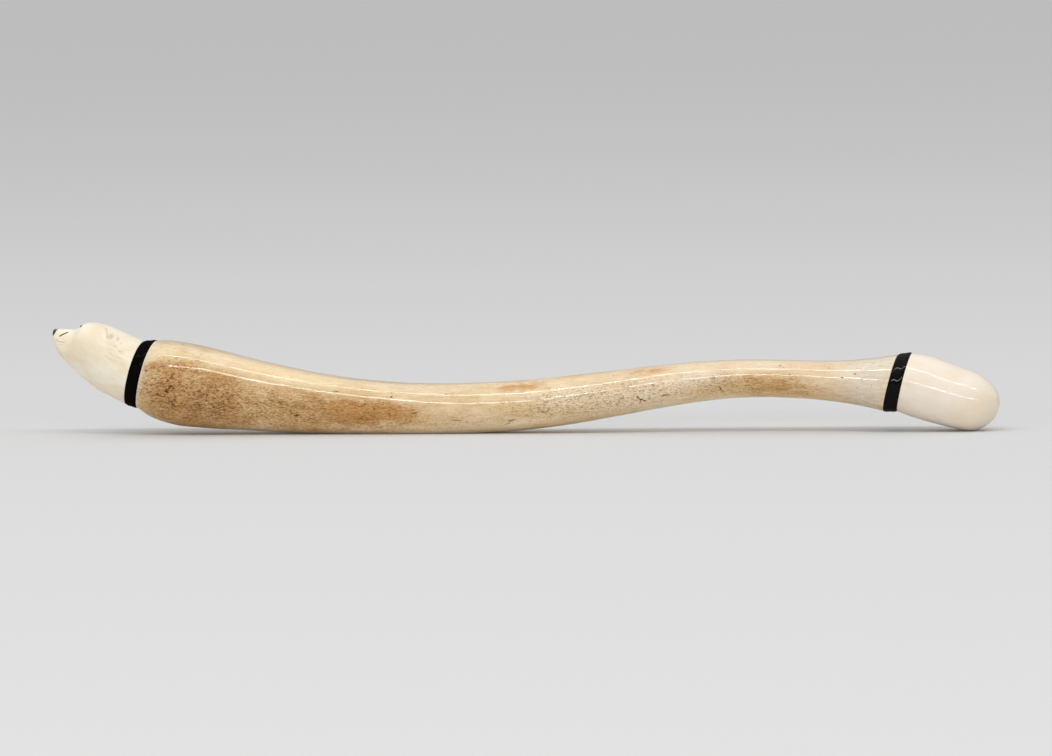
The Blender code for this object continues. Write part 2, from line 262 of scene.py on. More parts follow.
class Skin:
    """A long form's surface as rings of points, in metres, from its first rib to its last.

    Attributes:
        rows: The ribs' values at each ring.
        points: The points, ring by ring, from the bear's right over the top.
        straight: The same points as if the form were straight and evenly thick, so that a grain laid
            in it runs along the form and fans out where it swells.
    """

    def __init__(self, ribs: Iterable[Rib], rings: int, sides: int, ease: float = 0.0) -> None:
        """Spreads rings along the ribs.

        Args:
            ribs: The form's ribs.
            rings: How many rings there are.
            sides: How many points a ring has.
            ease: How much closer the rings stand towards the last rib: 0 is evenly spaced.
        """
        table = np.array([astuple(rib) for rib in ribs])
        steps = np.diff(table[:, :3], axis=0)
        lengths = np.hypot(np.hypot(steps[:, 0], steps[:, 1]), steps[:, 2] / 2)
        travel = np.concatenate([[0.0], np.cumsum(lengths)])
        slopes = np.gradient(table, travel, axis=0)
        share = np.linspace(0.0, 1.0, rings)
        places = travel[-1] * (share + ease * share * (1 - share))
        start = np.clip(np.searchsorted(travel, places, side="right") - 1, 0, len(lengths) - 1)
        length = lengths[start][:, None]
        t = (places[:, None] - travel[start][:, None]) / length
        self.rows = (
            (2 * t**3 - 3 * t**2 + 1) * table[start]
            + (t**3 - 2 * t**2 + t) * length * slopes[start]
            + (3 * t**2 - 2 * t**3) * table[start + 1]
            + (t**3 - t**2) * length * slopes[start + 1]
        )
        self.sides = sides
        self.points, self.straight = self.outlines()

    def outlines(self) -> tuple[np.ndarray, np.ndarray]:
        """Places every ring on its rib's outline.

        Returns:
            The points, and the points of the straightened form.
        """
        x, z, tall, wide, lean, y, shoulder, crown, belly = (self.rows[:, i, None] for i in range(9))
        angle = 2 * math.pi * np.arange(self.sides)[None, :] / self.sides
        across = np.cos(angle)
        rise = np.sin(angle)
        power = np.where(rise >= 0, crown, belly)
        reach = (np.abs(across) ** power + np.abs(rise) ** power) ** (-1 / power)
        share = np.where(rise >= 0, 1 - shoulder, 1 + shoulder)
        height = (shoulder + share * reach * rise) * tall / 2
        sideways = across * reach * wide / 2
        tip = np.radians(lean)
        points = np.stack([x + height * np.sin(tip), y + sideways, z + height * np.cos(tip)], axis=-1)
        axis = np.hypot(np.diff(self.rows[:, 0]), np.diff(self.rows[:, 1]))
        along = np.concatenate([[0.0], np.cumsum(axis)])[:, None] + 0 * angle
        # Towards a point the grain isn't spread out any further than at this share of that size.
        even = EVEN_SIZE / np.maximum((tall + wide) / 2, 0.7 * EVEN_SIZE)
        return points * MM, np.stack([along, sideways * even, height * even], axis=-1) * MM

    def normals(self) -> np.ndarray:
        """Finds the direction out of the surface at each point.

        Returns:
            The directions, each of length one.
        """
        along = np.gradient(self.points, axis=0)
        around = np.roll(self.points, -1, axis=1) - np.roll(self.points, 1, axis=1)
        out = np.cross(around, along)
        length = np.linalg.norm(out, axis=-1, keepdims=True)
        out = out / np.maximum(length, NO_LENGTH)
        centre = self.points.mean(axis=1, keepdims=True)
        facing = np.sign(((self.points - centre) * out).sum(axis=-1).mean()) or 1.0
        return out * facing

    def raise_by(self, height: np.ndarray) -> None:
        """Moves each point out along its normal by a height in metres, or in where it is negative."""
        self.points = self.points + self.normals() * height[..., None]

    def rest_on_floor(self) -> None:
        """Presses what would lie below the floor up to it, as one flat."""
        self.points[..., 2] = np.maximum(self.points[..., 2], 0.0)

    def to_object(self, name: str, layers: dict[str, np.ndarray]) -> bpy.types.Object:
        """Rolls a grid into a closed skin through the points.

        Args:
            name: The piece's name.
            layers: Values kept at each point, by name: one number each or three.

        Returns:
            The new piece.
        """
        rings = len(self.rows)
        sides = self.sides
        bm = bmesh.new()
        bmesh.ops.create_grid(bm, x_segments=rings - 1, y_segments=sides, size=0.5)
        cell = bm.verts.layers.int.new("cell")
        seam = []
        for vert in bm.verts:
            ring = round((vert.co.x + 0.5) * (rings - 1))
            side = round((vert.co.y + 0.5) * sides)
            if side in (0, sides) or ring == rings - 1:
                seam.append(vert)
            vert[cell] = ring * sides + side % sides
            vert.co = self.points[ring, side % sides]
        bmesh.ops.remove_doubles(bm, verts=seam, dist=SAME_POINT)
        rims = [edge for edge in bm.edges if edge.is_boundary]
        bmesh.ops.holes_fill(bm, edges=rims, sides=0)
        bmesh.ops.recalc_face_normals(bm, faces=bm.faces[:])
        made = to_piece(bm, name)
        self.fill_layers(made.data, layers)
        made.data.set_sharp_from_angle(angle=math.radians(SHARP_TURN))
        return made

    @staticmethod
    def fill_layers(mesh: bpy.types.Mesh, layers: dict[str, np.ndarray]) -> None:
        """Gives each vertex the values of the point that it came from.

        Args:
            mesh: The mesh, whose vertices know their points by the layer called cell.
            layers: The values at each point, by name: one number each or three.
        """
        cells = np.zeros(len(mesh.vertices), np.int32)
        mesh.attributes["cell"].data.foreach_get("value", cells)
        for layer, values in layers.items():
            flat = values.reshape(-1, 3) if values.ndim == 3 else values.reshape(-1)
            kind, key = ("FLOAT_VECTOR", "vector") if values.ndim == 3 else ("FLOAT", "value")
            made = mesh.attributes.new(layer, kind, "POINT")
            made.data.foreach_set(key, flat[cells].astype(np.float32).ravel())
        mesh.attributes.remove(mesh.attributes["cell"])


class Wiring:
    """A node tree while it is being wired."""

    def __init__(self, tree: bpy.types.NodeTree) -> None:
        """Takes the tree."""
        self.tree = tree

    def node(self, kind: str, *inputs: object, out: int | str = 0, **named: object) -> Socket:
        """Adds a node with its settings and links.

        Args:
            kind: The node's type, without the word ShaderNode.
            inputs: What its inputs take, in the order in which it shows them: sockets or plain values.
            out: The wanted output, by its name or by its number among those that it shows.
            named: Its settings, and more of its inputs, by name.

        Returns:
            The wanted output of the new node.
        """
        made = self.tree.nodes.new("ShaderNode" + kind)
        self.fit(made, **named)
        shown = [socket for socket in made.inputs if socket.enabled]
        for socket, value in zip(shown, inputs, strict=False):
            self.feed(socket, value)
        if isinstance(out, str):
            return made.outputs[out]
        return [socket for socket in made.outputs if socket.enabled][out]

    def fit(self, made: bpy.types.Node, **named: object) -> None:
        """Gives a node its settings and some of its inputs.

        Args:
            made: The node.
            named: The values of its settings and inputs, by name with _ for spaces.
        """
        for key, value in named.items():
            socket = made.inputs.get(key.replace("_", " "))
            if socket is None:
                setattr(made, key, value)
            else:
                self.feed(socket, value)

    def feed(self, socket: Socket, value: object) -> None:
        """Links an input to a socket, or sets it to a plain value.

        Args:
            socket: The input.
            value: The socket or the value.
        """
        if isinstance(value, Socket):
            self.tree.links.new(value, socket)
        else:
            socket.default_value = value

    def scaled(self, place: Socket, size: tuple[float, float, float]) -> Socket:
        """Coordinates counted in features of a size along each axis, in millimetres."""
        return self.node("VectorMath", place, [1 / (length * MM) for length in size], operation="MULTIPLY")

    def ragged(self, value: object, noise: Socket, swing: float) -> Socket:
        """A value made uneven by a noise around a half, which is taken times the swing."""
        away = self.node("Math", noise, 0.5, operation="SUBTRACT")
        return self.node("Math", away, swing, value, operation="MULTIPLY_ADD")

    def total(self, *parts: tuple[Socket, float]) -> Socket:
        """Adds values up.

        Args:
            parts: Each value with its weight.

        Returns:
            Their sum.
        """
        total: object = 0.0
        for value, weight in parts:
            total = self.node("Math", value, weight, total, operation="MULTIPLY_ADD")
        return total

    def tinted(self, colour: object, *coats: tuple[object, str]) -> Socket:
        """Lays tints over a colour, one after another.

        Args:
            colour: The colour underneath.
            coats: For each tint, how much of it shows and its hex colour.

        Returns:
            The colour on top.
        """
        for share, shade in coats:
            colour = self.node("Mix", share, colour, linear(shade), data_type="RGBA")
        return colour


class Shader(Wiring):
    """A material while it is being wired."""

    def __init__(self, name: str) -> None:
        """Starts a material with its surface shader.

        Args:
            name: The material's name.
        """
        self.material = bpy.data.materials.new(name)
        self.material.use_nodes = True
        super().__init__(self.material.node_tree)
        self.surface = self.tree.nodes["Principled BSDF"]

    def finish(self, **inputs: object) -> bpy.types.Material:
        """Sets the surface shader's inputs, by name with _ for spaces, and returns the material."""
        self.fit(self.surface, **inputs)
        return self.material


@dataclass(frozen=True)
class PolishedBone:
    """Old walrus bone, scraped, sanded and buffed under a thin clear polish.

    The polish gives narrow bright reflections. Under it the bone is cream to tan, with a lengthwise
    grain, brown stains where oil stayed in it, and small dark pores.
    """

    cream: str = "#f1dcb8"
    straw: str = "#e3c596"
    tan: str = "#c99e66"
    brown: str = "#9c6f40"
    umber: str = "#6a3a04"
    orange: str = "#c48838"
    grey: str = "#e0d8ca"
    blush: str = "#efdcc3"
    honey: str = "#ffe4b8"
    pink: str = "#e6bd9c"
    olive: str = "#d3c393"
    pore: str = "#442000"
    roughness: float = 0.45
    polish: float = 0.7
    polish_roughness: float = 0.1

    def make(self) -> bpy.types.Material:
        """Builds the material.

        Returns:
            The material.
        """
        s = Shader("polished_walrus_bone")
        kept = self.patterns(s)
        colour = self.stains(s, kept, self.ground(s, kept))
        colour = s.node("Mix", 1.0, colour, self.hairs(s, kept), data_type="RGBA", blend_type="MULTIPLY")
        dash, dark = self.dark_marks(s, kept)
        dashed = s.node("Math", dash, 0.8, operation="MULTIPLY")
        relief = s.total((kept["grain"], 0.4), (dark, -0.8), (dash, -0.25))
        return s.finish(
            Base_Color=s.tinted(colour, (dashed, self.umber), (dark, self.pore)),
            Roughness=s.node("MapRange", dark, 0.0, 1.0, self.roughness, 0.75, **SMOOTH),
            IOR=1.54,
            Specular_IOR_Level=0.12,
            Normal=s.node("Bump", Height=relief, Distance=0.045 * MM),
            Subsurface_Weight=0.03,
            Subsurface_Radius=(1.0, 0.55, 0.3),
            Subsurface_Scale=1.2 * MM,
            Coat_Weight=s.node("MapRange", dark, 0.0, 0.6, self.polish, 0.04, **SMOOTH),
            Coat_Roughness=self.polish_roughness,
            Coat_IOR=1.5,
        )

    def patterns(self, s: Shader) -> dict[str, Socket]:
        """The layers kept on the bone, and the noises that run along its grain.

        Args:
            s: The material being wired.

        Returns:
            Each of them by its name.
        """
        kept = {
            name: s.node("Attribute", out="Fac", attribute_name=name)
            for name in ("brown", "orange", "blush", "honey", "pale", "pores")
        }
        kept["mark"] = s.node("Attribute", out="Vector", attribute_name="mark")
        kept["place"] = s.node("Attribute", out="Vector", attribute_name="straight")
        # Each noise has the size of its features in millimetres, its detail and its roughness. The
        # hairs of the grain, in fleck, are finer on real bone, and are as coarse as they need to show.
        for name, size, detail, roughness in (
            ("cloud", (42.0, 13.0, 13.0), 3.0, 0.5),
            ("tinge", (9.0, 4.0, 4.0), 4.0, 0.65),
            ("patch", (10.0, 4.0, 4.0), 5.0, 0.7),
            ("grain", (9.0, 1.0, 1.0), 3.0, 0.62),
            ("fleck", (1.9, 0.6, 0.6), 3.0, 0.7),
        ):
            place = s.scaled(kept["place"], size)
            kept[name] = s.node("TexNoise", place, Scale=1.0, Detail=detail, Roughness=roughness)
        return kept

    def ground(self, s: Shader, kept: dict[str, Socket]) -> Socket:
        """The bone's own colour: cream and straw clouds, with faint pink and olive tinges.

        Args:
            s: The material being wired.
            kept: The layers and noises by name.

        Returns:
            The colour.
        """
        return s.tinted(
            linear(self.cream),
            (s.node("MapRange", kept["cloud"], 0.34, 0.66, **SMOOTH), self.straw),
            (s.node("MapRange", kept["patch"], 0.45, 0.75, 0.0, 0.35, **SMOOTH), self.tan),
            (s.node("MapRange", kept["tinge"], 0.52, 0.7, 0.0, 0.4, **SMOOTH), self.pink),
            (s.node("MapRange", kept["tinge"], 0.32, 0.48, 0.35, 0.0, **SMOOTH), self.olive),
        )

    def stains(self, s: Shader, kept: dict[str, Socket], colour: Socket) -> Socket:
        """Lays the brown, orange and pale places over the ground, with mottled edges.

        Args:
            s: The material being wired.
            kept: The layers and noises by name.
            colour: The ground's colour.

        Returns:
            The colour.
        """
        uneven = s.ragged(s.ragged(0.0, kept["patch"], 1.7), kept["fleck"], 1.2)
        within = s.node("MapRange", kept["brown"], 0.0, 0.5, **SMOOTH)
        stain = s.node("Math", uneven, within, kept["brown"], operation="MULTIPLY_ADD")
        glow = s.node("MapRange", kept["patch"], 0.35, 0.62, 0.3, 1.1, **SMOOTH)
        return s.tinted(
            colour,
            (kept["blush"], self.blush),
            (kept["honey"], self.honey),
            (s.node("MapRange", stain, 0.0, 0.62), self.tan),
            (s.node("MapRange", stain, 0.55, 1.25, 0.0, 0.9, **SMOOTH), self.brown),
            (s.node("Math", kept["orange"], glow, operation="MULTIPLY"), self.orange),
            (s.node("Math", kept["pale"], 0.85, operation="MULTIPLY"), self.grey),
        )

    @staticmethod
    def hairs(s: Shader, kept: dict[str, Socket]) -> Socket:
        """The grain's streaks and its short hairs, which are strongest in brown and porous places.

        Args:
            s: The material being wired.
            kept: The layers and noises by name.

        Returns:
            How bright they leave the bone, as a colour. The blue loses the most, as in real bone.
        """
        streak = s.node("MapRange", kept["grain"], 0.34, 0.62, 0.92, 1.05, **SMOOTH)
        worn = s.node("Math", kept["brown"], kept["pores"], operation="ADD")
        strong = s.node("MapRange", worn, 0.1, 0.8, 0.3, 1.0, **SMOOTH)
        hair = s.node("MapRange", kept["fleck"], 0.36, 0.62, 0.11, -0.22, **SMOOTH)
        hair = s.node("Math", hair, strong, 1.0, operation="MULTIPLY_ADD")
        shade = s.node("Math", streak, hair, operation="MULTIPLY")
        red, blue = (s.node("Math", shade, power, operation="POWER") for power in (0.8, 1.4))
        return s.node("CombineColor", red, shade, blue)

    def dark_marks(self, s: Shader, kept: dict[str, Socket]) -> tuple[Socket, Socket]:
        """Feathery dashes along the grain, thick on the ground in places, and the darker marks.

        Args:
            s: The material being wired.
            kept: The layers and noises by name.

        Returns:
            The dashes, and the pores, pits and scratches together, each from 0 to 1.
        """
        gathered = s.ragged(kept["pores"], kept["patch"], 1.4)
        gathered = s.node("MapRange", gathered, 0.1, 0.9, **SMOOTH)
        dash = s.node("MapRange", kept["fleck"], 0.53, 0.62, **SMOOTH)
        speck = s.node("Math", self.specks(s, kept), 0.75, operation="MULTIPLY")
        return (
            s.node("Math", dash, gathered, operation="MULTIPLY"),
            s.node("Math", speck, self.single_marks(s, kept), operation="MAXIMUM"),
        )

    @staticmethod
    def single_marks(s: Shader, kept: dict[str, Socket]) -> Socket:
        """The single pits and scratches, crisp and slightly ragged.

        Args:
            s: The material being wired.
            kept: The layers and noises by name.

        Returns:
            How dark a mark is, from 0 to 1.
        """
        flat = s.node("VectorMath", kept["mark"], (1.0, 1.0, 0.0), operation="MULTIPLY")
        reach = s.node("VectorMath", flat, operation="LENGTH")
        edge = s.node("MapRange", s.ragged(reach, kept["fleck"], 1.6), 0.5, 1.15, 1.3, 0.0, **SMOOTH)
        strength = s.node("SeparateXYZ", kept["mark"], out="Z")
        return s.node("Math", edge, strength, operation="MULTIPLY")

    @staticmethod
    def specks(s: Shader, kept: dict[str, Socket]) -> Socket:
        """Small pores drawn out along the grain, thick on the ground where pores gather.

        Args:
            s: The material being wired.
            kept: The layers and noises by name.

        Returns:
            1 in a pore and 0 outside it.
        """
        # Real pores are about 0.1 mm wide. These are as coarse as they need to be to show.
        place = s.scaled(kept["place"], (2.0, 0.75, 0.75))
        away = s.node("TexVoronoi", place, Scale=1.0, Randomness=1.0, out="Distance")
        core = s.node("MapRange", away, 0.14, 0.32, 1.0, 0.0, **SMOOTH)
        chance = s.node("SeparateColor", away.node.outputs["Color"])
        often = s.node("Math", kept["pores"], 0.4, operation="MULTIPLY")
        there = s.node("Math", chance, often, operation="LESS_THAN")
        return s.node("Math", core, there, operation="MULTIPLY")


@dataclass(frozen=True)
class Ivory:
    """Walrus ivory: dense and cream, with faint lengthwise lines and cloudy warmer places.

    Carved and rubbed it is satin, and buffed it is glossy. Light enters it a little, which softens
    the shade under it. Lines that were cut and rubbed with ink stay dark. Where it is inked, its
    carved hollows also get a painted shade in a darker tint.
    """

    name: str
    cream: str = "#fbf2df"
    warm: str = "#f3e3c8"
    shade: str = "#d9c49c"
    # The tint of painted shade in the carved hollows, and of ink rubbed in around the cuts.
    hollow: str = "#b8a27c"
    ink: str = "#1c140a"
    roughness: float = 0.55
    specular: float = 0.2
    polish: float = 0.0
    relief: float = 0.03
    inked: bool = False

    def make(self) -> bpy.types.Material:
        """Builds the material.

        Returns:
            The material.
        """
        s = Shader(self.name)
        place = s.node("Attribute", out="Vector", attribute_name="straight")
        old = s.node("Attribute", out="Fac", attribute_name="old")
        cloud = s.node("TexNoise", s.scaled(place, (16.0, 8.0, 8.0)), Scale=1.0, Detail=3.0)
        # Real scratches are far finer than 0.4 mm. These are as coarse as they need to be to show.
        line, scratch = (
            s.node("TexNoise", s.scaled(place, size), Scale=1.0, Detail=2.0, Roughness=roughness)
            for size, roughness in (((20.0, 0.8, 0.8), 0.6), ((6.0, 0.4, 0.4), 0.65))
        )
        coats = [
            (s.node("MapRange", cloud, 0.35, 0.7, **SMOOTH), self.warm),
            (s.node("MapRange", line, 0.55, 0.75, 0.0, 0.22, **SMOOTH), self.shade),
            (s.node("Math", old, 0.7, operation="MULTIPLY"), self.shade),
        ]
        if self.inked:
            coats += self.inked_coats(s, scratch)
        dull, rough = self.roughness - 0.06, self.roughness + 0.08
        height = s.total((line, 0.4), (scratch, 0.6))
        return s.finish(
            Base_Color=s.tinted(linear(self.cream), *coats),
            Roughness=s.node("MapRange", scratch, 0.3, 0.7, dull, rough, **SMOOTH),
            IOR=1.54,
            Specular_IOR_Level=self.specular,
            Normal=s.node("Bump", Height=height, Distance=self.relief * MM),
            Subsurface_Weight=0.2,
            Subsurface_Radius=(1.0, 0.75, 0.5),
            Subsurface_Scale=1.6 * MM,
            Coat_Weight=self.polish,
            Coat_Roughness=0.08,
            Coat_IOR=1.5,
        )

    def inked_coats(self, s: Shader, scratch: Socket) -> list[tuple[Socket, str]]:
        """The tints of fine scratches, painted shade in the carved hollows, and inked lines.

        Args:
            s: The material being wired.
            scratch: The noise of the scratches.

        Returns:
            For each tint, how much of it shows and its hex colour.
        """
        ink, hollow = (s.node("Attribute", out="Fac", attribute_name=name) for name in ("ink", "hollow"))
        # Ink rubbed in around the cuts, and painted shade in the ear's hollow and groove, share the hollow
        # tint.
        rubbed = s.node("MapRange", ink, 0.05, 0.5, **SMOOTH)
        ink_and_painted_shade = s.node("Math", hollow, rubbed, operation="MAXIMUM")
        return [
            (s.node("MapRange", scratch, 0.6, 0.7, 0.0, 0.28, **SMOOTH), self.shade),
            (s.node("Math", ink_and_painted_shade, 0.6, operation="MULTIPLY"), self.hollow),
            (s.node("MapRange", s.ragged(ink, scratch, 0.5), 0.45, 0.95, **SMOOTH), self.ink),
        ]


@dataclass(frozen=True)
class Baleen:
    """Black whale baleen, sawn, sanded round and buffed, with fine scratches round the band.

    The less it was buffed, the more satin it is and the duller its reflections are.
    """

    name: str
    polish: float
    black: str = "#070505"
    brown: str = "#120d0a"
    grey: str = "#231f1d"

    def make(self) -> bpy.types.Material:
        """Builds the material.

        Returns:
            The material.
        """
        s = Shader(self.name)
        place = s.node("TexCoord", out="Object")
        # Real scratches are far finer than 0.35 mm. These are as coarse as they need to be to show.
        cloud, fibre, scratch = (
            s.node("TexNoise", s.scaled(place, size), Scale=1.0, Detail=detail, Roughness=roughness)
            for size, detail, roughness in (
                ((4.0, 4.0, 4.0), 3.0, 0.5),
                ((6.0, 0.4, 0.4), 3.0, 0.65),
                ((0.35, 5.0, 5.0), 2.0, 0.7),
            )
        )
        colour = s.tinted(
            linear(self.black),
            (s.node("MapRange", cloud, 0.4, 0.75, 0.0, 0.6, **SMOOTH), self.brown),
            (s.node("MapRange", scratch, 0.62, 0.74, 0.0, 0.55, **SMOOTH), self.grey),
        )
        height = s.total((fibre, 0.5), (scratch, -0.7))
        return s.finish(
            Base_Color=colour,
            Roughness=s.node("MapRange", fibre, 0.3, 0.7, 0.2, 0.36, **SMOOTH),
            IOR=1.5,
            Specular_IOR_Level=0.0,
            Normal=s.node("Bump", Height=height, Distance=0.012 * MM),
            Coat_Weight=self.polish,
            Coat_Roughness=0.07,
        )


@dataclass(frozen=True)
class Inlay:
    """Black baleen plugs, set in and buffed: near black and glossy, with a faint brown cloud."""

    black: str = "#0b0908"
    brown: str = "#231b16"
    roughness: float = 0.18

    def make(self) -> bpy.types.Material:
        """Builds the material.

        Returns:
            The material.
        """
        s = Shader("buffed_black_inlay")
        place = s.scaled(s.node("TexCoord", out="Object"), (1.2, 0.8, 0.8))
        cloud = s.node("TexNoise", place, Scale=1.0, Detail=3.0)
        brown = s.node("MapRange", cloud, 0.45, 0.75, 0.0, 0.6, **SMOOTH)
        glossy, duller = self.roughness - 0.04, self.roughness + 0.1
        return s.finish(
            Base_Color=s.tinted(linear(self.black), (brown, self.brown)),
            Roughness=s.node("MapRange", cloud, 0.3, 0.7, glossy, duller, **SMOOTH),
            IOR=1.55,
            Normal=s.node("Bump", Height=cloud, Distance=0.02 * MM),
            Coat_Weight=0.5,
            Coat_Roughness=0.05,
        )


def dress(piece: bpy.types.Object, finish: bpy.types.Material, node: str) -> None:
    """Gives a piece its finish, and puts it in the place of its solid.

    Args:
        piece: The finished piece.
        finish: Its material.
        node: The solid that it stands for.
    """
    piece.data.materials.clear()
    piece.data.materials.append(finish)
    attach(piece, "root")
    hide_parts(node)
    faces = sum(len(face.vertices) - 2 for face in piece.data.polygons)
    log.info("%s: %d triangles", piece.name, faces)


@dataclass(frozen=True)
class Mark:
    """A place on the bone: where it is, how long and broad it is in millimetres, and how strong.

    around is the angle from the top towards the bear's left, and turn slants the mark, in degrees.
    """

    x: float
    around: float
    length: float
    breadth: float
    strength: float
    turn: float = 0.0


# Brown places in the bone, mostly over its thick end and along its underside.
BROWN_MARKS = (
    Mark(-206, 106, 34, 34, 0.68),
    Mark(-176, 112, 40, 34, 0.55),
    Mark(-150, 120, 90, 34, 0.4),
    Mark(-110, 116, 120, 30, 0.42),
    Mark(-184, 78, 44, 18, 0.3),
    Mark(-194, 146, 64, 40, 0.88),
    Mark(-207, 84, 16, 8, 0.4),
    Mark(-198, 72, 14, 7, 0.4),
    Mark(-219, 80, 8, 6, 0.45),
    Mark(-205, 105, 15, 8, 0.7, -25),
    Mark(-202, 126, 10, 9, 0.6),
    Mark(-212, 118, 12, 5, 0.5, -20),
    Mark(-112, 108, 44, 18, 0.35),
    Mark(-179, 90, 26, 12, 0.3),
    Mark(-200, -84, 50, 40, 0.5),
    Mark(-170, -112, 70, 34, 0.5),
    Mark(-112, -114, 120, 30, 0.42),
    Mark(-84, 104, 54, 14, 0.42),
    Mark(-98, 115, 28, 8, 0.72, 4),
    Mark(-70, 102, 22, 8, 0.72, 8),
    Mark(-95, 119, 34, 8, 0.5),
    Mark(147, 114, 74, 17, 0.4),
    Mark(154, 122, 50, 12, 0.35),
    Mark(206, 142, 44, 16, 0.35),
    Mark(110, -106, 70, 14, 0.45),
    Mark(30, -120, 60, 16, 0.35),
)

# Warm orange tints.
ORANGE_MARKS = (
    Mark(-90, 97, 48, 15, 0.45),
    Mark(-97, 110, 34, 12, 0.5, 4),
    Mark(-69, 101, 22, 9, 0.65, 6),
    Mark(-60, 34, 90, 24, 0.2),
    Mark(-30, 95, 60, 20, 0.14),
    Mark(-204, 105, 20, 10, 0.5, -25),
    Mark(-202, 127, 13, 10, 0.45),
    Mark(-200, 72, 28, 12, 0.35),
    Mark(-218, 82, 10, 8, 0.4),
    Mark(-204, 18, 44, 20, 0.22),
    Mark(-180, 80, 12, 7, 0.35),
    Mark(-190, 24, 20, 8, 0.3),
    Mark(2, 38, 38, 15, 0.85),
    Mark(78, 36, 28, 12, 0.7),
    Mark(146, 108, 62, 12, 0.22),
    Mark(-92, -84, 44, 13, 0.55),
    Mark(60, -50, 50, 10, 0.35),
)

# Light, faintly pink places, mostly along the top.
BLUSH_MARKS = (
    Mark(120, 24, 150, 26, 0.6),
    Mark(50, 84, 80, 14, 0.4),
    Mark(108, 88, 44, 10, 0.7),
    Mark(-30, 138, 70, 16, 0.4),
    Mark(60, 130, 80, 14, 0.5),
    Mark(110, -60, 120, 18, 0.5),
)

# Bright honey-cream places along the top of the thick half.
HONEY_MARKS = (
    Mark(-150, 16, 110, 44, 0.6),
    Mark(-70, 40, 60, 22, 0.4),
    Mark(-120, -50, 120, 30, 0.4),
)

# Paler, greyer places.
PALE_MARKS = (
    Mark(204, 90, 40, 60, 0.75),
    Mark(206, -90, 38, 60, 0.7),
    Mark(212, 0, 30, 60, 0.5),
    Mark(-222, 60, 10, 60, 0.3),
    Mark(-60, 40, 60, 14, 0.25),
)

# Where fine pores gather.
PORE_MARKS = (
    Mark(-205, 106, 36, 26, 0.85),
    Mark(-205, 105, 15, 8, 1.0, -25),
    Mark(-202, 126, 10, 9, 1.0),
    Mark(-176, 118, 34, 26, 1.0),
    Mark(-150, 122, 70, 24, 0.5),
    Mark(-200, 70, 30, 18, 0.45),
    Mark(-190, -100, 60, 34, 0.8),
    Mark(-95, 106, 70, 18, 0.35),
    Mark(62, 108, 90, 26, 0.62),
    Mark(20, 98, 60, 20, 0.5),
    Mark(118, 112, 60, 18, 0.6),
    Mark(60, -90, 110, 24, 0.8),
    Mark(-50, 126, 120, 16, 0.3),
)

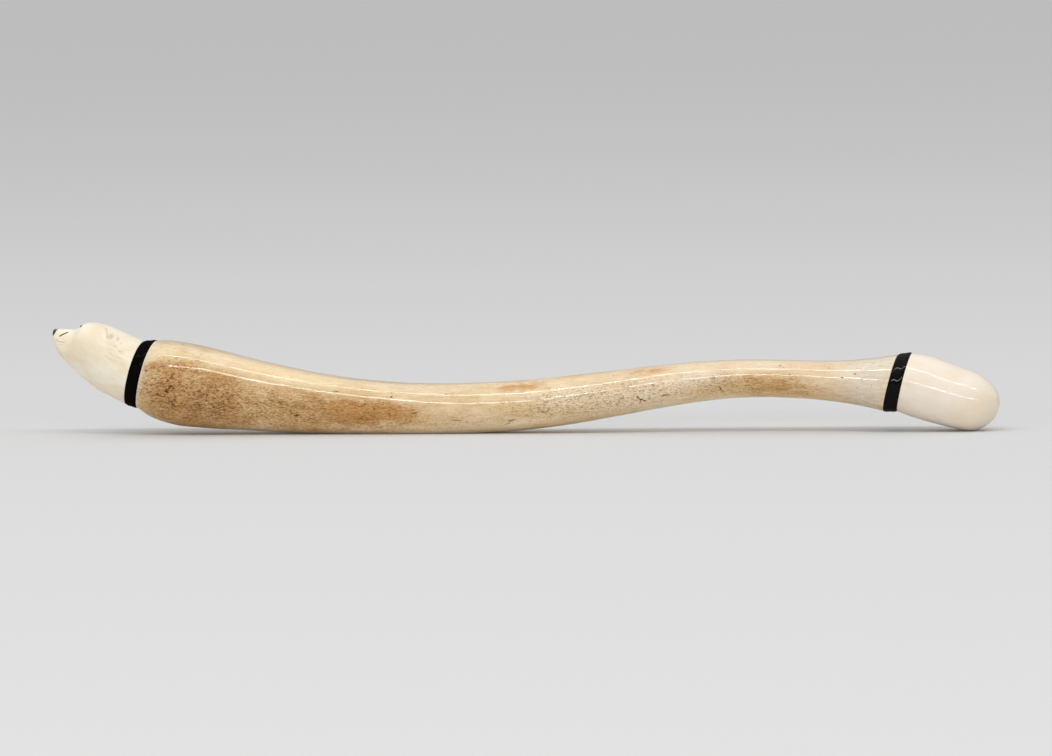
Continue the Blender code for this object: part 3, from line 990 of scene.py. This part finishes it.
# Single pits and scratches on the bear's left, each told apart in the real surface.
PIT_MARKS = (
    Mark(-206.0, 110, 2.9, 0.8, 0.8, -31),
    Mark(-204.6, 106, 2.4, 0.8, 0.9, -35),
    Mark(-203.9, 104, 2.9, 0.9, 0.9, -30),
    Mark(-202.1, 106, 2.4, 0.7, 0.7, -25),
    Mark(-205.0, 112, 1.8, 0.6, 0.6, -26),
    Mark(-211.1, 116, 2.9, 0.8, 0.7, -24),
    Mark(-209.3, 118, 1.8, 0.7, 0.5, -23),
    Mark(-213.2, 128, 2.9, 0.7, 0.5, -18),
    Mark(-202.4, 122, 1.8, 0.8, 0.7, 19),
    Mark(-201.3, 126, 2.1, 0.9, 0.75, 29),
    Mark(-199.9, 128, 1.8, 0.7, 0.6, 10),
    Mark(-201.7, 132, 1.5, 0.7, 0.5, -11),
    Mark(-220.4, 90, 2.4, 1.8, 0.5, 12),
    Mark(-219.4, 108, 1.2, 0.8, 0.45, -17),
    Mark(-217.7, 113, 1.5, 0.7, 0.5, 2),
    Mark(-221.1, 106, 1.2, 0.6, 0.35, -16),
    Mark(-204.6, 21, 3.5, 1.1, 0.45, -2),
    Mark(-194.4, 144, 4.1, 1.1, 0.4, 4),
    Mark(-177.6, 122, 1.3, 0.8, 0.6, -7),
    Mark(-175.0, 118, 1.2, 0.7, 0.5, -48),
    Mark(-173.2, 114, 1.3, 0.6, 0.5, -8),
    Mark(-172.1, 124, 1.2, 0.8, 0.5, 23),
    Mark(-176.1, 128, 1.2, 0.7, 0.5, -7),
    Mark(-170.7, 116, 1.2, 0.7, 0.45, -38),
    Mark(-174.3, 132, 1.2, 0.8, 0.4, -6),
    Mark(-169.2, 126, 1.2, 0.7, 0.4, -7),
    Mark(-180.5, 118, 1.3, 0.7, 0.4, -28),
    Mark(-152.4, 129, 2.4, 0.7, 0.5, -6),
    Mark(-137.7, 130, 1.8, 0.7, 0.5, -4),
    Mark(-128.9, 120, 4.7, 0.8, 0.75, -13),
    Mark(-126.4, 28, 4.7, 1.1, 0.4, -7),
    Mark(-106.5, 67, 4.7, 0.6, 0.75, -5),
    Mark(-89.1, 92, 1.3, 1.1, 0.65, -5),
    Mark(-73.5, 68, 1.4, 1.2, 0.7, -4),
    Mark(-73.5, 58, 1.8, 1.0, 0.3, -94),
    Mark(-91.3, 118, 2.4, 0.6, 0.6, -3),
    Mark(-84.7, 119, 1.8, 0.6, 0.6, -3),
    Mark(-59.5, 102, 4.7, 0.7, 0.65, -16),
    Mark(-41.3, 55, 1.8, 0.7, 0.5, 0),
    Mark(-22.0, 82, 1.8, 0.6, 0.5, -7),
    Mark(-5.7, 84, 1.8, 0.6, 0.5, -16),
    Mark(-1.7, 98, 1.5, 0.6, 0.5, 4),
    Mark(-35.0, 118, 6.5, 0.7, 0.5, 2),
    Mark(-29.4, 122, 1.8, 0.7, 0.6, 3),
    Mark(-3.9, 126, 7.1, 0.9, 0.65, -10),
    Mark(-6.1, 134, 4.1, 0.7, 0.5, -8),
    Mark(-8.3, 60, 1.2, 0.7, 0.4, 3),
    Mark(15.3, 113, 2.9, 0.6, 0.6, 47),
    Mark(18.3, 112, 3.5, 0.6, 0.6, -38),
    Mark(19.8, 122, 2.4, 0.6, 0.5, -12),
    Mark(70.8, 112, 1.8, 0.8, 0.8, 29),
    Mark(72.3, 120, 2.1, 0.9, 0.85, -1),
    Mark(74.1, 125, 1.8, 0.9, 0.8, 39),
    Mark(71.2, 127, 1.5, 0.7, 0.6, 10),
    Mark(86.6, 118, 5.9, 0.8, 0.65, 1),
    Mark(78.5, 100, 1.5, 0.6, 0.6, 8),
    Mark(119.1, 116, 2.4, 0.9, 0.8, 54),
    Mark(120.2, 126, 1.5, 0.9, 0.7, 4),
    Mark(63.1, 72, 1.8, 0.6, 0.55, 18),
    Mark(153.9, 46, 2.4, 0.8, 0.7, -11),
    Mark(159.8, 76, 1.8, 0.6, 0.7, -2),
    Mark(156.5, 98, 4.1, 0.6, 0.5, 6),
    Mark(190.2, 80, 2.1, 0.8, 0.85, 10),
    Mark(197.2, 68, 1.9, 0.7, 0.85, -6),
    Mark(181.7, 50, 1.5, 0.8, 0.5, -0),
    Mark(170.2, 136, 1.5, 0.9, 0.55, -4),
    Mark(158.7, 140, 1.5, 1.0, 0.55, -2),
    Mark(164.3, 99, 1.5, 0.6, 0.5, -3),
)


@dataclass
class Baculum:
    """The bone itself: one grown piece, cut square at both ends, ground flat where it rests.

    Its polish follows a slightly uneven surface, so that lines of light waver along it.

    Attributes:
        sway: How far the surface wavers, in millimetres.
        ripple: How far the grain stands out, in millimetres.
        dip: How far the grain bends down at the thick end, over about dip_length, in millimetres.
        pit_depth: How deep a pit of full strength is, in millimetres.
        scattered: How many small pits are thrown over it.
        scatter_span: Between which X they lie, in millimetres.
        stray: How common they are away from the gathered pores, as a share of that among them.
        unseen: How many single marks lie on the bear's right and the top.
        fade: How soon a soft mark fades out: at 1 it would be twice as long and broad as its sizes.
        margin: How far around a single mark its place is kept, in millimetres.
        rim_width: How broad the pale line along the thick end's edge is, in millimetres.
    """

    rings: int = 540
    sides: int = 180
    sway: float = 0.22
    ripple: float = 0.012
    dip: float = 10.0
    dip_length: float = 20.0
    pit_depth: float = 0.2
    scattered: int = 420
    unseen: int = 46
    scatter_span: tuple[float, float] = (-221.0, 214.0)
    stray: float = 0.12
    fade: float = 1.4
    margin: float = 1.8
    rim_width: float = 1.6
    skin: Skin = field(init=False)

    def __post_init__(self) -> None:
        """Spreads the bone's skin, and dips its grain towards the thick end."""
        self.skin = Skin(BONE_RIBS, self.rings, self.sides)
        along = self.skin.straight[..., 0] / MM
        self.skin.straight[..., 2] += self.dip * MM * np.exp(-along / self.dip_length)

    def offsets(self, mark: Mark) -> tuple[np.ndarray, np.ndarray]:
        """Measures how far each point lies from a mark's middle.

        Args:
            mark: The mark.

        Returns:
            The distances along the mark and across it, in millimetres.
        """
        x, _, tall, wide, lean = (self.skin.rows[:, i, None] for i in range(5))
        along = (x - mark.x) / np.cos(np.radians(lean))
        degrees = 360 * np.arange(self.sides)[None, :] / self.sides - 90
        turned = (degrees - mark.around + 180) % 360 - 180
        around = np.radians(turned) * (tall + wide) / 4
        along = along + 0 * around
        slant = math.radians(mark.turn)
        return (
            along * math.cos(slant) + around * math.sin(slant),
            around * math.cos(slant) - along * math.sin(slant),
        )

    def field_of(self, marks: Iterable[Mark]) -> np.ndarray:
        """Lays a kind of mark over the bone.

        Args:
            marks: The marks.

        Returns:
            Their strength at every point, from 0 to 1.
        """
        total = np.zeros((self.rings, self.sides))
        for mark in marks:
            along, around = self.offsets(mark)
            share = self.fade * np.hypot(along / mark.length, around / mark.breadth)
            total = 1 - (1 - total) * (1 - np.clip(mark.strength * soft(share), 0, 1))
        return total

    def scatter(self) -> list[Mark]:
        """Throws small pits over the bone, mostly where pores gather.

        Returns:
            The pits.
        """
        draw = np.random.default_rng(11)
        pores = self.field_of(PORE_MARKS)
        made = []
        while len(made) < self.scattered:
            x = draw.uniform(*self.scatter_span)
            around = draw.uniform(-180, 180)
            ring = int(np.argmin(np.abs(self.skin.rows[:, 0] - x)))
            side = int((around + 90) % 360 / 360 * self.sides)
            if draw.uniform() > self.stray + (1 - self.stray) * pores[ring, side]:
                continue
            length = draw.uniform(1.3, 3.2)
            breadth = draw.uniform(0.9, 1.3)
            made.append(Mark(x, around, length, breadth, draw.uniform(0.25, 0.7), draw.normal() * 10))
        return made

    def far_marks(self) -> list[Mark]:
        """Draws single marks for the bear's right and the top, of the same kinds as on its left.

        Returns:
            The marks.
        """
        draw = np.random.default_rng(5)
        made = []
        for _ in range(self.unseen):
            long = draw.uniform() < 0.3
            length = draw.uniform(4.0, 6.5) if long else draw.uniform(1.2, 2.8)
            x, around = draw.uniform(-216, 210), draw.uniform(-165, 15)
            breadth, strength = draw.uniform(0.6, 0.9), draw.uniform(0.4, 0.8)
            made.append(Mark(x, around, length, breadth, strength, draw.normal() * 14))
        return made

    def single_marks(self) -> np.ndarray:
        """Where each point lies in the nearest pit or scratch.

        Returns:
            For each point its place along and across the mark, in half sizes, and the mark's strength,
            which is 0 well outside it.
        """
        kept = np.zeros((self.rings, self.sides, 3))
        nearest = np.full((self.rings, self.sides), np.inf)
        for mark in [*PIT_MARKS, *self.far_marks()]:
            along, around = self.offsets(mark)
            near = np.hypot(along, around) < nearest
            nearest[near] = np.hypot(along, around)[near]
            inside = np.abs(along) < mark.length / 2 + self.margin
            inside &= np.abs(around) < mark.breadth / 2 + self.margin
            halves = (2 * along / mark.length, 2 * around / mark.breadth, inside * mark.strength)
            kept[near] = np.stack(halves, axis=-1)[near]
        return kept

    def pits(self) -> np.ndarray:
        """Lays the pits over the bone.

        Returns:
            How deep they are at every point, from 0 to 1.
        """
        total = np.zeros((self.rings, self.sides))
        for mark in [*PIT_MARKS, *self.scatter()]:
            near = np.abs(self.skin.rows[:, 0] - mark.x) < mark.length + 2
            along, around = (part[near] for part in self.offsets(mark))
            share = np.hypot(along / mark.length * 2, around / mark.breadth * 2)
            total[near] = np.maximum(total[near], mark.strength * soft(share * 0.8))
        return total

    def rim(self) -> np.ndarray:
        """The pale line where the polish wore through along the thick end's edge, from 0 to 1."""
        from_end = (self.skin.straight[..., 0] - self.skin.straight[0, 0, 0]) / MM
        return soft(from_end / self.rim_width)

    def build(self, finish: bpy.types.Material) -> bpy.types.Object:
        """Presses the waver and the pits into the skin and closes it.

        Args:
            finish: The bone's material.

        Returns:
            The bone.
        """
        skin = self.skin
        straight = skin.straight
        waver = Waves(3, (0.034, 0.016, 0.016), self.sway * MM).at(straight)
        ripple = Waves(4, (0.007, 0.004, 0.004), self.ripple * MM, 40).at(straight)
        pits = self.pits()
        skin.raise_by(-np.abs(waver) * 0.5 + ripple - self.ripple * MM - pits * self.pit_depth * MM)
        skin.rest_on_floor()
        layers = {
            "straight": straight,
            "brown": self.field_of(BROWN_MARKS),
            "orange": self.field_of(ORANGE_MARKS),
            "blush": self.field_of(BLUSH_MARKS),
            "honey": self.field_of(HONEY_MARKS),
            "pale": np.maximum(self.field_of(PALE_MARKS), self.rim()),
            "pores": self.field_of(PORE_MARKS) * 0.9 + 0.1,
            "mark": self.single_marks(),
        }
        bone = skin.to_object("walrus_bone", layers)
        dress(bone, finish, "baculum")
        return bone


@dataclass
class Band:
    """A black band between a cut face of the bone and the ivory beyond it.

    It fills the whole space between them. Its middle stands proud by its crown, and over the width of
    its rims it is rounded and drops below its neighbours, all in millimetres.
    """

    name: str
    node: str
    right: Rib
    left: Rib
    crown: float = 0.35
    rim_drop: float = 0.35
    rim_width: float = 0.8
    rings: int = 36
    sides: int = 240

    def between(self, share: float, proud: float) -> Rib:
        """Makes a rib part of the way across the band.

        Args:
            share: How far across it is, from 0 to 1.
            proud: How far it stands proud of both neighbours, in millimetres.

        Returns:
            The rib.
        """
        pairs = zip(astuple(self.right), astuple(self.left), strict=True)
        values = [a + (b - a) * share for a, b in pairs]
        values[2] += 2 * proud
        values[3] += 2 * proud
        return Rib(*values)

    def build(self, finish: bpy.types.Material) -> bpy.types.Object:
        """Makes the band.

        Args:
            finish: Its material.

        Returns:
            The band.
        """
        width = math.dist((self.right.x, self.right.z), (self.left.x, self.left.z))
        rim = self.rim_width / width
        shares = (0.0, rim * 0.4, rim, 0.5, 1 - rim, 1 - rim * 0.4, 1.0)
        prouds = (-self.rim_drop, 0.0, self.crown * 0.7, self.crown, self.crown * 0.7, 0.0, -self.rim_drop)
        ribs = [self.between(share, proud) for share, proud in zip(shares, prouds, strict=True)]
        skin = Skin(ribs, self.rings, self.sides)
        skin.raise_by(Waves(7, (0.012, 0.012, 0.012), 0.1 * MM).at(skin.points) - 0.05 * MM)
        band = skin.to_object(self.name, {})
        dress(band, finish, self.node)
        return band


@dataclass(frozen=True)
class Touch:
    """A soft swelling or hollow worked into the skin.

    at is its middle, in millimetres, with its sideways part measured from the head's middle. reach
    holds its half sizes along X, Y and Z, turned by roll about X and by lean about Y, in degrees.
    rise is its height along the skin's normal, negative for a hollow.
    """

    at: tuple[float, float, float]
    reach: tuple[float, float, float]
    rise: float
    roll: float = 0.0
    lean: float = 0.0


@dataclass(frozen=True)
class Cut:
    """A groove along a line of points, in millimetres: its half width, depth, and how inked it is."""

    path: tuple[tuple[float, float, float], ...]
    half_width: float
    depth: float
    ink: float = 0.0


@dataclass
class BearHead:
    """The carved polar bear head: brows, muzzle, mouth, low ears, two eyes and a nose.

    The same work is done on both sides of the head's middle.
    """

    middle: float = 0.8
    rings: int = 230
    sides: int = 320
    eye_at: tuple[float, float, float] = (-260.9, 5.5, 63.5)
    eye_radius: float = 1.4
    nose_at: tuple[float, float, float] = (-280.4, 0.0, 61.5)
    nose_radii: tuple[float, float, float] = (3.6, 7.0, 4.0)
    touches: tuple[Touch, ...] = (
        Touch((-257.6, 5.6, 65.6), (6.5, 6.5, 6.5), 0.6),
        Touch((-265.5, 0.0, 62.4), (4.5, 4.5, 4.5), -0.5),
        Touch((-265.4, 8.0, 57.5), (3.0, 5.0, 7.0), -0.6, 0.0, 20.0),
        Touch((-265.2, 11.5, 50.5), (3.0, 5.0, 6.0), -0.4, 0.0, 20.0),
        Touch((-272.5, 6.0, 57.0), (4.5, 4.0, 3.2), 0.35),
        Touch((-262.4, 6.6, 62.2), (2.6, 2.4, 2.0), -0.35),
        Touch((-280.0, 2.3, 60.3), (1.2, 0.9, 0.9), -0.5),
        Touch((-238.7, 11.2, 56.9), (1.7, 2.2, 1.2), 0.6),
        Touch((-236.4, 12.6, 54.8), (1.8, 2.0, 1.1), 0.55),
        Touch((-238.6, 14.3, 53.4), (2.2, 2.0, 1.1), 0.5),
        Touch((-241.4, 15.4, 51.6), (2.4, 2.0, 1.1), 0.5),
        Touch((-235.6, 15.6, 50.4), (2.4, 2.0, 1.1), 0.5),
    )
    warm_at: tuple[float, float] = (-258.0, 51.0)
    warm_reach: tuple[float, float] = (24.0, 15.0)
    warmth: float = 0.45
    cloudiness: float = 0.25
    cuts: tuple[Cut, ...] = (
        Cut(((-274.3, 6.2, 58.6), (-272.2, 5.8, 59.8), (-270.0, 4.9, 60.7)), 0.7, 0.4, 1.7),
        Cut(((-277.7, 5.1, 55.6), (-274.8, 6.8, 55.1), (-271.4, 8.3, 54.9)), 0.4, 0.2, 0.6),
        Cut(((-277.4, 5.2, 56.6), (-275.4, 6.4, 56.2)), 0.4, 0.2, 0.5),
        Cut(((-277.9, 4.3, 53.8), (-275.4, 6.2, 53.4), (-272.1, 8.2, 53.4)), 0.4, 0.2, 0.3),
    )
    ear_lobe: Touch = Touch((-241.6, 11.3, 58.6), (4.0, 4.6, 5.6), 1.15, 45.0, 20.0)
    ear_back: Touch = Touch((-238.7, 12.2, 57.4), (2.6, 3.2, 4.2), 0.7, 45.0, 20.0)
    ear_hollow: Touch = Touch((-241.9, 11.7, 58.9), (3.1, 4.0, 4.6), -1.5, 45.0, 20.0)
    ear_front: Cut = Cut(((-245.6, 6.5, 63.0), (-244.6, 9.5, 61.1), (-243.8, 12.8, 58.2)), 1.2, 0.6)
    fur: int = 18
    fur_slope: float = 35.0
    fur_out: float = 17.0

    def side_of(self, at: tuple[float, float, float], side: Side) -> np.ndarray:
        """A place on one side of the head, in metres."""
        return np.array([at[0], self.middle + side.value * at[1], at[2]]) * MM

    def touch(self, points: np.ndarray, touch: Touch, side: Side) -> np.ndarray:
        """Measures a touch on the skin.

        Args:
            points: The skin's points.
            touch: The touch.
            side: The side of the head that it is on.

        Returns:
            How high it raises each point, in metres.
        """
        turned = Matrix.Rotation(math.radians(touch.lean), 3, "Y") @ Matrix.Rotation(
            math.radians(side.value * touch.roll), 3, "X"
        )
        local = (points - self.side_of(touch.at, side)) @ np.array(turned)
        share = np.linalg.norm(local / (np.array(touch.reach) * MM), axis=-1)
        return soft(share) * touch.rise * MM

    @staticmethod
    def on_skin(points: np.ndarray, at: np.ndarray) -> np.ndarray:
        """The point of the skin nearest to a place."""
        flat = points.reshape(-1, 3)
        return flat[np.argmin(np.linalg.norm(flat - at, axis=-1))]

    def line_share(self, points: np.ndarray, cut: Cut, side: Side) -> np.ndarray:
        """Measures how far each point lies from a cut's line.

        Args:
            points: The skin's points.
            cut: The cut.
            side: The side of the head that it is on.

        Returns:
            The distances, in half widths of the cut.
        """
        line = [self.on_skin(points, self.side_of(at, side)) for at in cut.path]
        nearest = np.full(points.shape[:-1], np.inf)
        for a, b in zip(line, line[1:], strict=False):
            along = b - a
            t = np.clip((points - a) @ along / (along @ along), 0, 1)[..., None]
            nearest = np.minimum(nearest, np.linalg.norm(points - a - t * along, axis=-1))
        return nearest / (cut.half_width * MM)

    def ear(self, points: np.ndarray, side: Side) -> tuple[np.ndarray, np.ndarray]:
        """The low ear: a rounded lobe, sunk in the middle, with a groove in front of it.

        Args:
            points: The skin's points.
            side: Which ear.

        Returns:
            How high the skin is raised, in metres, and how much painted shade the hollow and the groove
            take, from 0 to 1.
        """
        sunk = self.touch(points, self.ear_hollow, side)
        line = soft(self.line_share(points, self.ear_front, side))
        height = self.touch(points, self.ear_lobe, side) + self.touch(points, self.ear_back, side)
        # Painted shade: the hollow gets the darker tint in full, and the groove in front of it less.
        shade = np.maximum(sunk / (self.ear_hollow.rise * MM), 0.7 * line)
        return height + sunk - line * self.ear_front.depth * MM, np.clip(shade, 0, 1)

    def fur_cuts(self) -> list[Cut]:
        """Draws short shallow cuts behind the ear that stand for fur, sloping down the neck.

        Returns:
            The cuts.
        """
        draw = np.random.default_rng(17)
        slope = math.radians(self.fur_slope)
        made = []
        for _ in range(self.fur):
            x, z, length = draw.uniform(-245, -232), draw.uniform(43, 57), draw.uniform(2.5, 5.0)
            end = (x + length * math.cos(slope), self.fur_out, z - length * math.sin(slope))
            # Their faint ink darkens the grooves with a painted shade, as falls between raised tufts.
            made.append(Cut(((x, self.fur_out, z), end), 0.5, 0.22, draw.uniform(0.12, 0.26)))
        return made

    def carve(self) -> tuple[Skin, dict[str, np.ndarray]]:
        """Works the head's forms into its skin.

        Returns:
            The carved skin, its ink values, and the painted shade in its hollows.
        """
        skin = Skin(HEAD_RIBS, self.rings, self.sides)
        smooth = skin.points.copy()
        height = np.zeros(smooth.shape[:-1])
        ink = np.zeros(smooth.shape[:-1])
        hollow = np.zeros(smooth.shape[:-1])
        for side in Side:
            for touch in self.touches:
                share = 0.5 if touch.at[1] == 0 else 1.0
                height += share * self.touch(smooth, touch, side)
            lift, shade = self.ear(smooth, side)
            height += lift
            hollow = np.maximum(hollow, shade)
            for cut in [*self.cuts, *self.fur_cuts()]:
                near = soft(self.line_share(smooth, cut, side))
                height -= near * cut.depth * MM
                ink = np.maximum(ink, near * cut.ink)
        height += Waves(9, (0.012, 0.006, 0.006), 0.08 * MM).at(smooth) - 0.04 * MM
        skin.raise_by(height)
        away = (smooth[..., (0, 2)] / MM - self.warm_at) / self.warm_reach
        warm = soft(np.linalg.norm(away, axis=-1)) * self.warmth
        old = np.clip(Waves(21, (0.03, 0.02, 0.02), 1.0).at(smooth), 0, 1) * self.cloudiness
        # hollow holds the painted shade of the ears' hollows and grooves.
        layers = {"ink": ink, "hollow": hollow, "old": np.maximum(old, warm)}
        return skin, {**layers, "straight": skin.straight}

    @staticmethod
    def ball(name: str, at: np.ndarray, radii: tuple[float, float, float]) -> bpy.types.Object:
        """Makes a round lump.

        Args:
            name: Its name.
            at: Its middle, in metres.
            radii: Its half sizes, in millimetres.

        Returns:
            The lump.
        """
        bm = bmesh.new()
        bmesh.ops.create_uvsphere(bm, u_segments=64, v_segments=40, radius=MM)
        placed = Matrix.Translation(Vector(at)) @ Matrix.Diagonal((*radii, 1.0))
        bmesh.ops.transform(bm, matrix=placed, verts=bm.verts[:])
        return to_piece(bm, name)

    def build(self, ivory: bpy.types.Material, inlay: bpy.types.Material) -> list[bpy.types.Object]:
        """Carves the head and sets its nose and eyes.

        Args:
            ivory: The head's material.
            inlay: The nose's and the eyes' material.

        Returns:
            The head, the nose and the two eyes.
        """
        skin, layers = self.carve()
        head = skin.to_object("carved_bear_head", layers)
        nose = skin.to_object("inlaid_nose", {})
        nose_at = self.side_of(self.nose_at, Side.LEFT)
        nose_at[1] = self.middle * MM
        form = self.ball("nose_form", nose_at, self.nose_radii)
        combine(nose, form, "INTERSECT")
        pieces = [head, nose]
        combine(head, form, "DIFFERENCE")
        for side in Side:
            name = f"inlaid_eye_{side.name.lower()}"
            eye = self.ball(name, self.side_of(self.eye_at, side), (self.eye_radius,) * 3)
            combine(head, eye, "DIFFERENCE")
            dress(eye, inlay, f"eye_{side.name.lower()}")
            pieces.append(eye)
        bpy.data.objects.remove(form)
        dress(head, ivory, "bear_head")
        dress(nose, inlay, "nose")
        return pieces


def combine(target: bpy.types.Object, tool: bpy.types.Object, operation: str) -> None:
    """Cuts or keeps what a tool covers of a piece, and applies it to the piece's mesh.

    Args:
        target: The piece that changes.
        tool: The shape that cuts it.
        operation: DIFFERENCE or INTERSECT.
    """
    modifier = target.modifiers.new(tool.name, "BOOLEAN")
    modifier.object = tool
    modifier.operation = operation
    modifier.solver = "EXACT"
    evaluated = target.evaluated_get(bpy.context.evaluated_depsgraph_get())
    mesh = bpy.data.meshes.new_from_object(evaluated)
    target.modifiers.clear()
    target.data = mesh
    mesh.name = target.name


@dataclass
class EndCap:
    """The smooth rounded ivory cap, with the small flat on which it touches down.

    The ivory has yellowed a little towards the lower part of its round end.
    """

    rings: int = 200
    sides: int = 220
    yellow_at: tuple[float, float] = (272.0, 10.0)
    yellow_reach: tuple[float, float] = (24.0, 22.0)
    yellow: float = 0.32

    def old(self, skin: Skin) -> np.ndarray:
        """How yellowed the ivory is at each point, from 0 to 1."""
        away = (skin.points[..., (0, 2)] / MM - self.yellow_at) / self.yellow_reach
        return soft(np.linalg.norm(away, axis=-1)) * self.yellow

    def build(self, finish: bpy.types.Material) -> bpy.types.Object:
        """Makes the cap.

        Args:
            finish: Its material.

        Returns:
            The cap.
        """
        skin = Skin(CAP_RIBS, self.rings, self.sides)
        skin.raise_by(Waves(15, (0.022, 0.016, 0.016), 0.12 * MM).at(skin.points) - 0.06 * MM)
        skin.rest_on_floor()
        cap = skin.to_object("ivory_end_cap", {"straight": skin.straight, "old": self.old(skin)})
        dress(cap, finish, "end_cap")
        return cap


@dataclass
class Studio:
    """A pale floor under a soft dome, with long narrow strips of light at the bear's left.

    Two broad strips light the object softly and aren't mirrored in it. A thinner and brighter strip,
    just in front of each, is only mirrored in the polish, and reaches less far behind the head.
    """

    floor_size: float = 400.0
    floor_shade: str = "#dcdcdc"
    floor_dimming: float = 0.97
    horizon: float = 0.3
    zenith: float = 0.95
    strip_distance: float = 5.0
    elevations: tuple[float, float] = (66.0, 14.0)
    soft_ends: tuple[float, float] = (-5.4, 5.4)
    soft_angle: float = 2.6
    soft_radiance: tuple[float, float] = (13.0, 11.0)
    bright_starts: tuple[float, float] = (-3.2, -2.0)
    bright_end: float = 5.4
    bright_angle: float = 2.0
    bright_radiance: tuple[float, float] = (36.0, 38.0)
    bright_nearer: float = 0.98

    def floor(self) -> None:
        """Lays the floor."""
        bm = bmesh.new()
        bmesh.ops.create_grid(bm, x_segments=1, y_segments=1, size=self.floor_size / 2)
        made = to_piece(bm, "studio_floor")
        s = Shader("matt_pale_floor")
        place = s.scaled(s.node("TexCoord", out="Object"), (3.0, 3.0, 3.0))
        grain = s.node("TexNoise", place, Scale=1.0, Detail=2.0)
        pale = linear(self.floor_shade)
        dim = (*(channel * self.floor_dimming for channel in pale[:3]), 1.0)
        colour = s.node("Mix", grain, pale, dim, data_type="RGBA")
        made.data.materials.append(s.finish(Base_Color=colour, Roughness=0.9, Specular_IOR_Level=0.1))

    def strip(
        self, name: str, elevation: float, ends: tuple[float, float], angle: float, brightness: float
    ) -> bpy.types.Object:
        """A long narrow strip of light along X that faces the object.

        Args:
            name: The light's name.
            elevation: Its height above the floor as seen from the object, in degrees.
            ends: Where it starts and ends along X, in metres.
            angle: Its breadth as seen from the object, in degrees.
            brightness: Its radiance.

        Returns:
            The light.
        """
        rise = math.radians(elevation)
        length = ends[1] - ends[0]
        breadth = 2 * self.strip_distance * math.tan(math.radians(angle / 2))
        light = bpy.data.lights.new(name, "AREA")
        light.shape = "RECTANGLE"
        light.size = length
        light.size_y = breadth
        light.energy = brightness * math.pi * length * breadth
        back = Vector((0.0, -math.cos(rise), math.sin(rise)))
        across = Vector((1.0, 0.0, 0.0))
        up = back.cross(across)
        at = back * self.strip_distance + across * (ends[0] + ends[1]) / 2
        turn = Matrix((across, up, back)).transposed().to_4x4()
        return put(name, light, Matrix.Translation(at) @ turn)

    def sky(self) -> None:
        """A dome of soft light, bright overhead and dim near the floor."""
        world = bpy.data.worlds.new("soft_dome")
        world.use_nodes = True
        w = Wiring(world.node_tree)
        height = w.node("SeparateXYZ", w.node("TexCoord", out="Generated"), out="Z")
        strength = w.node("MapRange", height, 0.1, 1.0, self.horizon, self.zenith, **SMOOTH)
        w.fit(world.node_tree.nodes["Background"], Strength=strength, Color=(1.0, 1.0, 1.0, 1.0))
        bpy.context.scene.world = world

    def build(self) -> None:
        """Lays the floor and sets the lights."""
        self.floor()
        self.sky()
        bpy.context.scene.view_settings.view_transform = "Standard"
        for i, elevation in enumerate(self.elevations):
            broad = self.strip(
                f"soft_strip_{i}", elevation, self.soft_ends, self.soft_angle, self.soft_radiance[i]
            )
            broad.visible_glossy = False
            ends = (self.bright_starts[i], self.bright_end)
            thin = self.strip(
                f"bright_strip_{i}", elevation, ends, self.bright_angle, self.bright_radiance[i]
            )
            thin.location *= self.bright_nearer
            thin.visible_diffuse = False


@dataclass
class Viewpoint:
    """The camera, at the reference picture's viewing angle, through a long lens."""

    azimuth: float = 10.0
    elevation: float = 4.0
    roll: float = -1.02807
    distance: float = 3409.08
    aim: tuple[float, float, float] = (3.601, 0.0, 31.818)
    lens: float = 200.0

    def build(self) -> None:
        """Places the camera."""
        a, e, r = (math.radians(v) for v in (self.azimuth, self.elevation, self.roll))
        forward = Vector((-math.sin(a) * math.cos(e), math.cos(a) * math.cos(e), -math.sin(e)))
        level = Vector((math.cos(a), math.sin(a), 0.0))
        above = level.cross(forward)
        right = level * math.cos(r) + above * math.sin(r)
        up = above * math.cos(r) - level * math.sin(r)
        camera = bpy.data.cameras.new("viewpoint")
        camera.lens = self.lens
        camera.sensor_width = SENSOR_WIDTH
        camera.clip_end = 500.0
        at = Vector(self.aim) * MM - forward * self.distance * MM
        turn = Matrix((right, up, -forward)).transposed().to_4x4()
        bpy.context.scene.camera = put("viewpoint", camera, Matrix.Translation(at) @ turn)


def keep_sizes() -> None:
    """Brings the scene's placements up to date."""
    bpy.context.view_layer.update()


def main() -> None:
    """Builds the object, the studio and the camera."""
    logging.basicConfig(level=logging.INFO, format="%(message)s")
    Baculum().build(PolishedBone().make())
    satin = Baleen("satin_black_baleen", 0.04).make()
    buffed = Baleen("buffed_black_baleen", 0.22).make()
    Band("black_head_band", "head_band", BONE_RIBS[0], HEAD_RIBS[0]).build(satin)
    Band("black_cap_band", "cap_band", CAP_RIBS[0], BONE_RIBS[-1]).build(buffed)
    carved = Ivory("carved_walrus_ivory", inked=True).make()
    BearHead().build(carved, Inlay().make())
    smooth = Ivory(
        "polished_walrus_ivory",
        cream="#f4e9da",
        warm="#f0e1cd",
        shade="#e0cc9a",
        roughness=0.4,
        specular=0.1,
        polish=0.36,
        relief=0.01,
    )
    EndCap().build(smooth.make())
    Studio().build()
    Viewpoint().build()
    keep_sizes()


if __name__ == "__main__":
    main()
